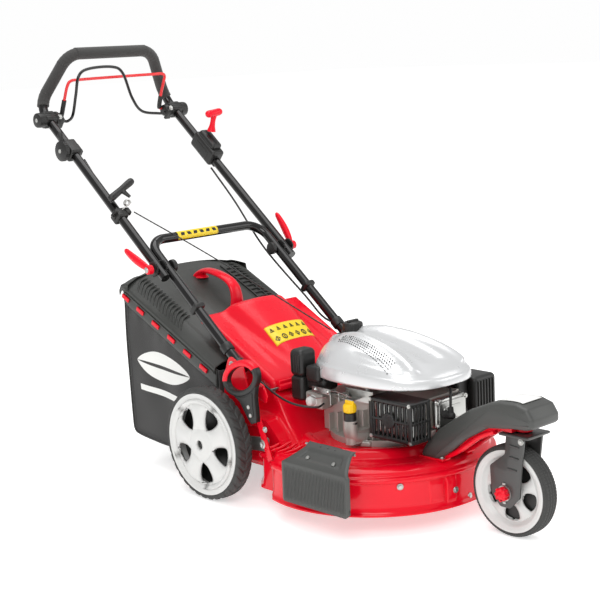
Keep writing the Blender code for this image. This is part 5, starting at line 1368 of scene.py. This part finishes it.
def makeHandle():
    legs = [handlePoint(-mower["legX"], 0.0), handlePoint(-mower["legX"], mower["crossbarY"]),
            handlePoint(mower["legX"], mower["crossbarY"]), handlePoint(mower["legX"], 0.0)]
    piece("lowerTube", tubeShape(bentPath(legs, 0.05, 16), mower["tube"], 40, side=(0.1, 0.7, -0.7)),
          "blackEnamelTube", "chassis", ["lower_handle"])
    piece("upperTube", tubeShape(upperPath, mower["tube"], 40, side=(0.1, 0.7, -0.7)), "blackEnamelTube",
          "upper_handle", ["upper_handle"])
    # foam sleeve over the top bow, soft rounded ends and a slightly uneven skin
    dense = smoothPath(upperPath[upperPath[:, 2] > 0.93], 260)
    sleeve = dense[(dense[:, 2] > 0.9475)]
    s = np.linspace(0, 1, len(sleeve))
    radius = 0.0162 * np.clip(np.minimum(s, 1 - s) * 90 + 0.8, 0, 1) + 0.0002 * np.sin(s * 130)
    piece("gripSleeve", tubeShape(sleeve, radius, 40, side=(0.1, 0.7, -0.7)), "foamSleeve", "upper_handle",
          ["foam_grip"])
    seam = sleeve + np.array([0, 0.0118, 0.011])
    piece("gripSeam", tubeShape(seam[6:-6], 0.0009, 6, side=(0.1, 0.7, -0.7)), "foamSleeve", "upper_handle")
    # yellow band on the cross bar, with plain marks
    u, v = np.meshgrid(np.linspace(-0.098, 0.036, 30), np.linspace(-0.6, 1.9, 20), indexing="ij")
    centre = handlePoint(0, mower["crossbarY"])
    wrap = np.stack([u, centre[1] - 0.01275 * np.cos(v), centre[2] + 0.01275 * np.sin(v)], -1)
    piece("barLabel", gridShape(wrap), "yellowVinyl", "chassis", wall=0.0003, offset=1.0)
    marks = []
    for k in range(6):
        x0 = -0.088 + 0.021 * k
        w, q = np.meshgrid(np.linspace(x0, x0 + 0.012, 5), np.linspace(0.25, 0.95, 7), indexing="ij")
        lean = (q - 0.6) * 0.004 * (-1) ** k
        marks.append(gridShape(np.stack([w + lean, centre[1] - 0.0132 * np.cos(q), centre[2] + 0.0132 * np.sin(q)],
                                        -1)))
    piece("barLabelMarks", together(*marks), "blackInk", "chassis")
    # collars and clips on the lower legs
    collars, clips = [], []
    for side in (-1, 1):
        for y0, length in ((0.012, 0.03), (0.058, 0.022)):
            collars.append(onHandle(latheShape([(0.0127, -length / 2), (0.015, -length / 2),
                                                (0.0158, -length / 2 + 0.002), (0.0158, length / 2 - 0.002),
                                                (0.015, length / 2), (0.0127, length / 2)], (0, 0, 0), "Y", 40,
                                                closed=True), side * mower["legX"], y0))
        for y0 in (0.165,):
            clips.append(onHandle(boxShape((-0.0165, -0.008, -0.0165), (0.0165, 0.008, 0.0165), 0.006),
                                  side * mower["legX"], y0))
    piece("legCollars", together(*collars, *clips), "blackNylon", "chassis")
    # brackets: spacer, carriage bolt and wing knob outside
    bolts = []
    for side in (-1, 1):
        p = handlePoint(side * 0.2018, 0.02)
        bolts.append(boltShape((side * 0.21, p[1], p[2]), (side, 0, 0), 0.0062, 0.005))
        bolts.append(latheShape([(0, side * 0.2093), (0.0068, side * 0.2093), (0.0068, side * 0.201),
                                 (0, side * 0.201)], (0, p[1], p[2]), "X", 24))
        for y0, z0 in ((-0.04, 0.205), (0.04, 0.212)):
            bolts.append(boltShape((side * 0.2098, y0, z0), (side, 0, 0), 0.0048, 0.004))
    piece("bracketBolts", together(*bolts), "zincPlate", "chassis")
    tab = slabShape(roundedOutline([(-0.104, 0.252), (-0.08, 0.262), (-0.06, 0.292), (-0.07, 0.304),
                                    (-0.096, 0.296), (-0.11, 0.27)], 0.006),
                    -0.216, -0.21, 0.0015)
    piece("hingeTab", tab, "powderCoatedSteel", "chassis")


def makeClamps():
    for side, word, rise in ((-1, "right", 25), (1, "left", 54)):
        # serrated clamp blocks sit between the lower and upper tubes
        place = handlePoint(0, mower["clampY"])
        ring = []
        t = np.arange(120) * 2 * pi / 120
        for x0, x1, r in ((side * 0.204, side * 0.1995, 0.019),):
            low, high = sorted((x0, x1))
            radius = r * (1 + 0.05 * np.sign(np.sin(t * 20)))
            outline = np.stack([place[1] + radius * np.cos(t), place[2] + radius * np.sin(t)], -1)
            ring.append(slabShape(outline, low, high, 0.0006))
        low, high = sorted((side * 0.176, side * 0.164))
        ring.append(slabShape(np.stack([place[1] + 0.0165 * np.cos(t), place[2] + 0.0165 * np.sin(t)], -1), low, high,
                              0.003))
        piece("clampDiscs" + word.title(), together(*ring), "blackNylon", "chassis")
        low, high = sorted((side * 0.2282, side * 0.233))
        cup = []
        radius = 0.0185 * (1 + 0.05 * np.sign(np.sin(t * 20)))
        cup.append(slabShape(np.stack([place[1] + radius * np.cos(t), place[2] + radius * np.sin(t)], -1), low, high,
                             0.001))
        piece("clampCup" + word.title(), together(*cup), "blackNylon", "upper_handle")
        # paddle: round boss, then a flat blade that widens and thins towards its tip
        s = math.radians(rise)
        centre = handlePoint(side * 0.243, mower["clampY"])
        along = np.array([0, math.cos(s), math.sin(s)])
        u = np.linspace(0, 1, 30)
        bow = np.array([side, 0, 0])[None] * (0.006 * np.sin(pi * u) + 0.004 * u**2)[:, None]
        path = centre + along * (0.006 + 0.098 * u)[:, None] + bow
        width = 0.0072 + 0.0044 * np.sin(pi * np.clip(u, 0, 1) ** 0.8) * (1 - 0.2 * u)
        width[-3:] *= np.array([0.93, 0.78, 0.45])
        blade = tubeShape(path, width, 24, side=(1, 0, 0), flat=1.0)
        points = blade[0]
        points[:, 0] = side * 0.243 + (points[:, 0] - side * 0.243) * 0.72
        boss = latheShape([(0, side * 0.253), (0.008, side * 0.253), (0.0115, side * 0.2505),
                           (0.012, side * 0.238), (0, side * 0.238)],
                          (0, centre[1], centre[2]), "X", 40)
        piece("camPaddle" + word.title(), together((points, blade[1]), boss), "mouldedRedAbs", "cam_lever_" + word,
              ["cam_lever_" + word])
        pin = together(boltShape((side * 0.253, centre[1], centre[2]), (side, 0, 0), 0.0052, 0.003),
                       latheShape([(0, side * 0.2385), (0.0058, side * 0.2385), (0.0058, side * 0.2345),
                                   (0, side * 0.2345)], (0, centre[1], centre[2]), "X", 24))
        piece("camPin" + word.title(), pin, "zincPlate", "cam_lever_" + word)


def makeBailBrackets():
    y, z = 0.727, 0.913
    for side, word in ((-1, "right"), (1, "left")):
        # moulded saddle: a stepped barrel with a clamp round the tube, ribs and a cross bolt
        profile = [(0, side * 0.254), (0.015, side * 0.254), (0.019, side * 0.252), (0.02, side * 0.248),
                   (0.02, side * 0.233),
                   (0.018, side * 0.231), (0.018, side * 0.2), (0.0205, side * 0.198), (0.0205, side * 0.19),
                   (0.017, side * 0.188),
                   (0.0155, side * 0.176), (0.013, side * 0.1742), (0, side * 0.1742)]
        barrel = latheShape(profile, (0, y, z), "X", 48)
        clamp = onHandle(together(boxShape((-0.0175, -0.017, -0.0185), (0.0175, 0.017, 0.0185), 0.005),
                                  *[boxShape((-0.0185, -0.012 + 0.008 * k, -0.0195),
                                             (0.0185, -0.009 + 0.008 * k, 0.0195), 0.0012) for k in range(3)]),
                         side * mower["upperX"], y)
        tab = moved(boxShape((-0.01, -0.022, -0.0045), (0.01, 0.01, 0.0045), 0.003), Matrix.Rotation(-0.9, 3, "X"),
                    (side * 0.186, y - 0.006, z - 0.016))
        piece("bailSaddle" + word.title(), together(barrel, clamp, tab), "blackNylon", "upper_handle",
              ["bail_bracket_" + word])
        bolts = together(boltShape((side * 0.253, y, z), (side, 0, 0), 0.0042, 0.002),
                         boltShape((side * 0.19, y - 0.018, z + 0.006), (0, -1, 0.3), 0.0048, 0.004))
        piece("bailBolts" + word.title(), bolts, "zincPlate", "upper_handle")


def makeBails():
    # two bent wires: the red one runs level under the bow, the black one dips across it
    stop = smoothPath([(-0.1737, 0.735, 0.919), (-0.168, 0.7345, 0.9215), (-0.166, 0.727, 0.943),
                       (-0.165, 0.716, 0.97), (-0.162, 0.706, 0.998),
                       (-0.153, 0.7002, 1.0125), (-0.12, 0.6998, 1.015), (0, 0.6995, 1.0168),
                       (0.12, 0.6998, 1.0178), (0.157, 0.7005, 1.0178),
                       (0.1692, 0.7035, 1.011), (0.1698, 0.71, 0.994), (0.1668, 0.72, 0.965),
                       (0.166, 0.731, 0.932), (0.168, 0.7345, 0.921),
                       (0.1737, 0.735, 0.919)], 240)
    piece("stopBailWire", tubeShape(stop, 0.0041, 20, side=(0.12, 0.72, -0.68)), "redSleeve", "stop_bail",
          ["stop_bail"])
    sockets = together(tubeShape(stop[16:44], 0.0064, 20, side=(1, 0.1, 0.1)),
                       tubeShape(stop[-44:-16], 0.0064, 20, side=(1, 0.1, 0.1)))
    piece("stopBailSockets", sockets, "blackNylon", "stop_bail")
    drive = smoothPath([(-0.1737, 0.719, 0.906), (-0.158, 0.719, 0.906), (-0.157, 0.696, 0.922),
                        (-0.157, 0.675, 0.975), (-0.15, 0.665, 1.025),
                        (-0.117, 0.665, 1.043), (-0.04, 0.664, 1.045), (-0.003, 0.667, 1.026), (0.04, 0.69, 0.957),
                        (0.085, 0.709, 0.917),
                        (0.15, 0.719, 0.906), (0.1737, 0.719, 0.906)], 160)
    piece("driveBailWire", tubeShape(drive, 0.004, 20, side=(0.12, 0.72, -0.68)), "blackEnamelTube", "drive_bail",
          ["drive_bail"])


def makeControls():
    # right side: a turning disc on a clamp, with a knob and a scale of plain ridges
    centre = handlePoint(-mower["upperX"], 0.63)
    box = onHandle(together(boxShape((-0.0175, -0.025, -0.02), (0.0175, 0.025, 0.02), 0.006, 4),
                            boxShape((0.012, -0.016, -0.012), (0.03, 0.018, 0.008), 0.005)),
                   -0.2155, 0.63)
    piece("throttleHousing", box, "blackNylon", "upper_handle", ["throttle_box"])
    disc = latheShape([(0, -0.018), (0.016, -0.018), (0.018, -0.017), (0.024, -0.0165), (0.0265, -0.0145),
                       (0.0265, -0.004), (0.024, -0.0015), (0.0, -0.001)],
                      (centre[0] - 0.0178, centre[1], centre[2]), "X", 72)
    teeth = [moved(boxShape((-0.015, 0.0245, -0.0012), (-0.004, 0.0272, 0.0012), 0.0006),
                   Matrix.Rotation(a, 3, "X"), (centre[0] - 0.0178, centre[1], centre[2]))
             for a in np.linspace(0, 2 * pi, 28, endpoint=False)]
    stem = tubeShape(np.linspace((-0.2423, centre[1], centre[2] + 0.018),
                                 (-0.2423, centre[1] + 0.0078, centre[2] + 0.051), 12),
                     [0.005, 0.005, 0.0048, 0.005, 0.0056, 0.0064, 0.007, 0.0072, 0.007, 0.0064, 0.005, 0.0026],
                     20)
    piece("throttleDisc", together(disc, *teeth, stem), "blackNylon", "throttle_lever", ["throttle_lever"])
    piece("throttleBolt", boltShape((centre[0] - 0.0352, centre[1], centre[2]), (-1, 0, 0), 0.004, 0.003),
          "zincPlate", "throttle_lever")
    # left side: gear box with a slot plate, and a red T lever
    gate = onHandle(together(boxShape((-0.022, -0.05, -0.018), (0.022, 0.05, 0.03), 0.009, 5),
                             boxShape((-0.018, -0.034, 0.024), (0.018, 0.04, 0.044), 0.009, 5),
                             boxShape((-0.0235, -0.03, -0.012), (0.0235, 0.03, 0.018), 0.004),
                             boxShape((-0.012, -0.062, -0.012), (0.004, -0.044, 0.004), 0.003)),
                    0.2155, 0.59)
    piece("speedHousing", gate, "blackNylon", "upper_handle", ["speed_box"])
    # a dark strip where the lever's slot opens: painted shade for the opening
    slot = onHandle(boxShape((-0.004, -0.024, 0.042), (0.004, 0.03, 0.0452), 0.001), 0.2155, 0.59)
    piece("speedSlotShade", slot, "paintedOpeningShade", "upper_handle")
    axis = handlePoint(mower["upperX"], 0.6, 0.056)
    base = axis + np.array([0, -0.001, 0.0008])
    top = base + np.array([0.004, -0.012, 0.05])
    stem = tubeShape(np.linspace(base, top, 10), [0.0125, 0.011, 0.0092, 0.008, 0.0074, 0.0072, 0.0074, 0.0082,
                                                  0.0092, 0.0098], 24)
    u = np.linspace(-1, 1, 30)
    head = tubeShape(np.stack([top[0] + 0.0285 * u, top[1] + 0.003 * u**2, top[2] + 0.001 + 0.003 * u], -1),
                     0.0118 * np.sqrt(np.clip(1 - np.abs(u) ** 5, 0.02, 1)) * (0.88 + 0.12 * u**2), 24,
                     side=(0, 1, 0))
    piece("speedT", together(stem, head), "mouldedRedAbs", "speed_lever", ["speed_lever"])
    # starter grip, with a waisted bar and moulded ends
    grip = handlePoint(-0.196, 0.47, 0.042)
    lean = np.array([0.87, 0, 0.49])
    bar = tubeShape(grip + lean * (0.046 * u)[:, None],
                    0.0112 * np.sqrt(np.clip(1 - np.abs(u) ** 8, 0.03, 1)) * (0.8 + 0.2 * np.abs(u) ** 1.5), 24,
                    side=(0, 1, 0))
    neck = tubeShape(np.linspace(grip, grip + np.array([0.012, -0.02, -0.0185]), 8),
                     [0.0066, 0.0068, 0.0066, 0.006, 0.0054, 0.005, 0.0046, 0.004], 20)
    piece("starterBar", together(bar, neck), "blackNylon", "starter_grip", ["starter_grip"])
    guide = onHandle(together(boxShape((-0.0172, -0.015, -0.0175), (0.0172, 0.015, 0.0175), 0.006),
                              boxShape((0.012, -0.01, 0.006), (0.026, 0.01, 0.02), 0.003)),
                     -0.2155, 0.43)
    wing = onHandle(together(moved(boxShape((-0.03, -0.0035, -0.01), (-0.0165, 0.0035, 0.01), 0.003),
                                   Matrix.Rotation(0.5, 3, "Y")),
                             boxShape((-0.0205, -0.006, -0.006), (-0.016, 0.006, 0.006), 0.002)), -0.2155, 0.43)
    piece("ropeGuideBody", together(guide, wing), "blackNylon", "upper_handle", ["rope_guide"])
    turn = np.linspace(0, 1.7 * 2 * pi, 70)
    start = handlePoint(-0.196, 0.44, 0.024)
    eye = np.stack([start[0] + 0.007 * np.cos(turn), start[1] - 0.01 + 0.012 * turn / turn[-1],
                    start[2] + 0.006 + 0.007 * np.sin(turn)], -1)
    shaft = np.linspace(start + np.array([-0.014, 0, -0.01]), eye[0], 8)[:-1]
    piece("ropeEye", tubeShape(np.concatenate([shaft, eye]), 0.0018, 12, side=(0.2, 1, 0.1)), "zincPlate",
          "upper_handle")


def makeCables():
    hp = handlePoint
    routes = {
        "throttleSheath": ("throttle_cable", [hp(-0.193, 0.602, -0.004), hp(-0.194, 0.5, -0.016),
                                              hp(-0.196, 0.38, -0.02), hp(-0.1725, 0.2, -0.012),
                           (-0.1715, 0.05, 0.35), (-0.172, -0.02, 0.3), (-0.184, -0.105, 0.27),
                           (-0.185, -0.17, 0.256), (-0.158, -0.215, 0.25),
                           (-0.13, -0.212, 0.252)], 0.0027, "blackNylon"),
        "driveSheath": ("drive_cable", [hp(0.193, 0.54, -0.01), hp(0.194, 0.44, -0.02), hp(0.172, 0.3, -0.022),
                                        hp(0.172, 0.15, -0.014),
                        hp(0.189, 0.095, -0.026), (0.216, 0.06, 0.335), (0.218, 0.03, 0.26),
                        (0.218, 0.02, 0.19)], 0.0027, "blackNylon"),
    }
    a, b = tuple(hp(0, 0.2)), tuple(hp(0, 0.36))
    for name, (node, points, radius, look) in routes.items():
        made = looseTube(name, tubeShape(smoothPath(points, 150), radius, 12, side=(1, 0.1, 0.1)), look, node)
        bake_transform(made)
    rope = smoothPath([(-0.184, 0.41, 0.676), (-0.1, 0.194, 0.56), (0.01, -0.1, 0.392)], 140)
    # twisted cord: the surface carries a fine three-strand wave along its length
    s = np.linspace(0, 1, 140)
    made = looseTube("ropeTwist", tubeShape(rope, 0.0017 + 0.00015 * np.sin(s * 600), 12, side=(1, 0.1, 0.1)),
                     "blackNylon", "starter_rope")
    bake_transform(made)


def looseTube(name, shape, look, node):
    # a piece that is carried by two bodies, so it rides on neither
    points, faces = shape
    mesh = bpy.data.meshes.new(name)
    mesh.from_pydata(np.asarray(points).tolist(), [], faces)
    bm = bmesh.new()
    bm.from_mesh(mesh)
    bmesh.ops.recalc_face_normals(bm, faces=bm.faces)
    bm.to_mesh(mesh)
    bm.free()
    mesh.shade_smooth()
    made = bpy.data.objects.new(name, mesh)
    scene.collection.objects.link(made)
    material, slotName = looks[look]
    mesh.materials.append(material)
    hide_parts(node)
    return made


# bright red plastic sleeve over the wire
makeLook("redSleeve", "red_paint", "e0141c", 0.3, coat=0.3, mottle=0.03, grain=(0.002, 0.0001))
makeHandle()
makeClamps()
makeBailBrackets()
makeBails()
makeControls()
makeCables()
print("handle made")


# studio: a pale floor that meets a pale world, and soft area lights
def makeStudio(s):
    world = bpy.data.worlds.new("studio")
    world.use_nodes = True
    # the backdrop looks white while the room's light on the mower stays softer
    tree = world.node_tree
    room = tree.nodes["Background"]
    room.inputs["Color"].default_value = fromHex("fdfdfd")
    room.inputs["Strength"].default_value = s["world"]
    backdrop = addNode(tree, "Background", [("Color", fromHex("fefefe")), ("Strength", s["backdrop"])])
    path = addNode(tree, "LightPath")
    mixed = addNode(tree, "MixShader", [], [(0, path, "Is Camera Ray"), (1, room, 0), (2, backdrop, 0)])
    tree.links.new(mixed.outputs[0], tree.nodes["World Output"].inputs["Surface"])
    scene.world = world
    scene.view_settings.view_transform = "Standard"
    t = np.linspace(-40, 40, 2)
    x, y = np.meshgrid(t, t, indexing="ij")
    mesh = bpy.data.meshes.new("floor")
    points, faces = gridShape(np.stack([x, y, 0 * x], -1))
    mesh.from_pydata(points.tolist(), [], [face[::-1] for face in faces])
    floor = bpy.data.objects.new("floor", mesh)
    scene.collection.objects.link(floor)
    material = bpy.data.materials.new("paleSeamlessPaper")
    material.use_nodes = True
    tree = material.node_tree
    shader = tree.nodes["Principled BSDF"]
    shader.inputs["Base Color"].default_value = fromHex(s["floor"])
    shader.inputs["Roughness"].default_value = 0.85
    shader.inputs["Specular IOR Level"].default_value = 0.1
    shader.inputs["Emission Color"].default_value = fromHex("ffffff")
    shader.inputs["Emission Strength"].default_value = s["floorGlow"]
    mesh.materials.append(material)
    for name, place, size, power in (
        ("keyLight", (-3.2, -2.6, 3.4), 2.6, s["key"]), ("fillLight", (3.0, -3.2, 2.2), 2.4, s["fill"]),
        ("topLight", (0.2, 0.4, 3.8), 3.0, s["top"]),
    ):
        lamp = bpy.data.lights.new(name, "AREA")
        lamp.shape = "SQUARE"
        lamp.size = size
        lamp.energy = power
        light = bpy.data.objects.new(name, lamp)
        light.location = place
        light.rotation_euler = (Vector((0, -0.1, 0.35)) - Vector(place)).to_track_quat("-Z", "Y").to_euler()
        scene.collection.objects.link(light)


makeStudio(lightSetup)
print("studio made")
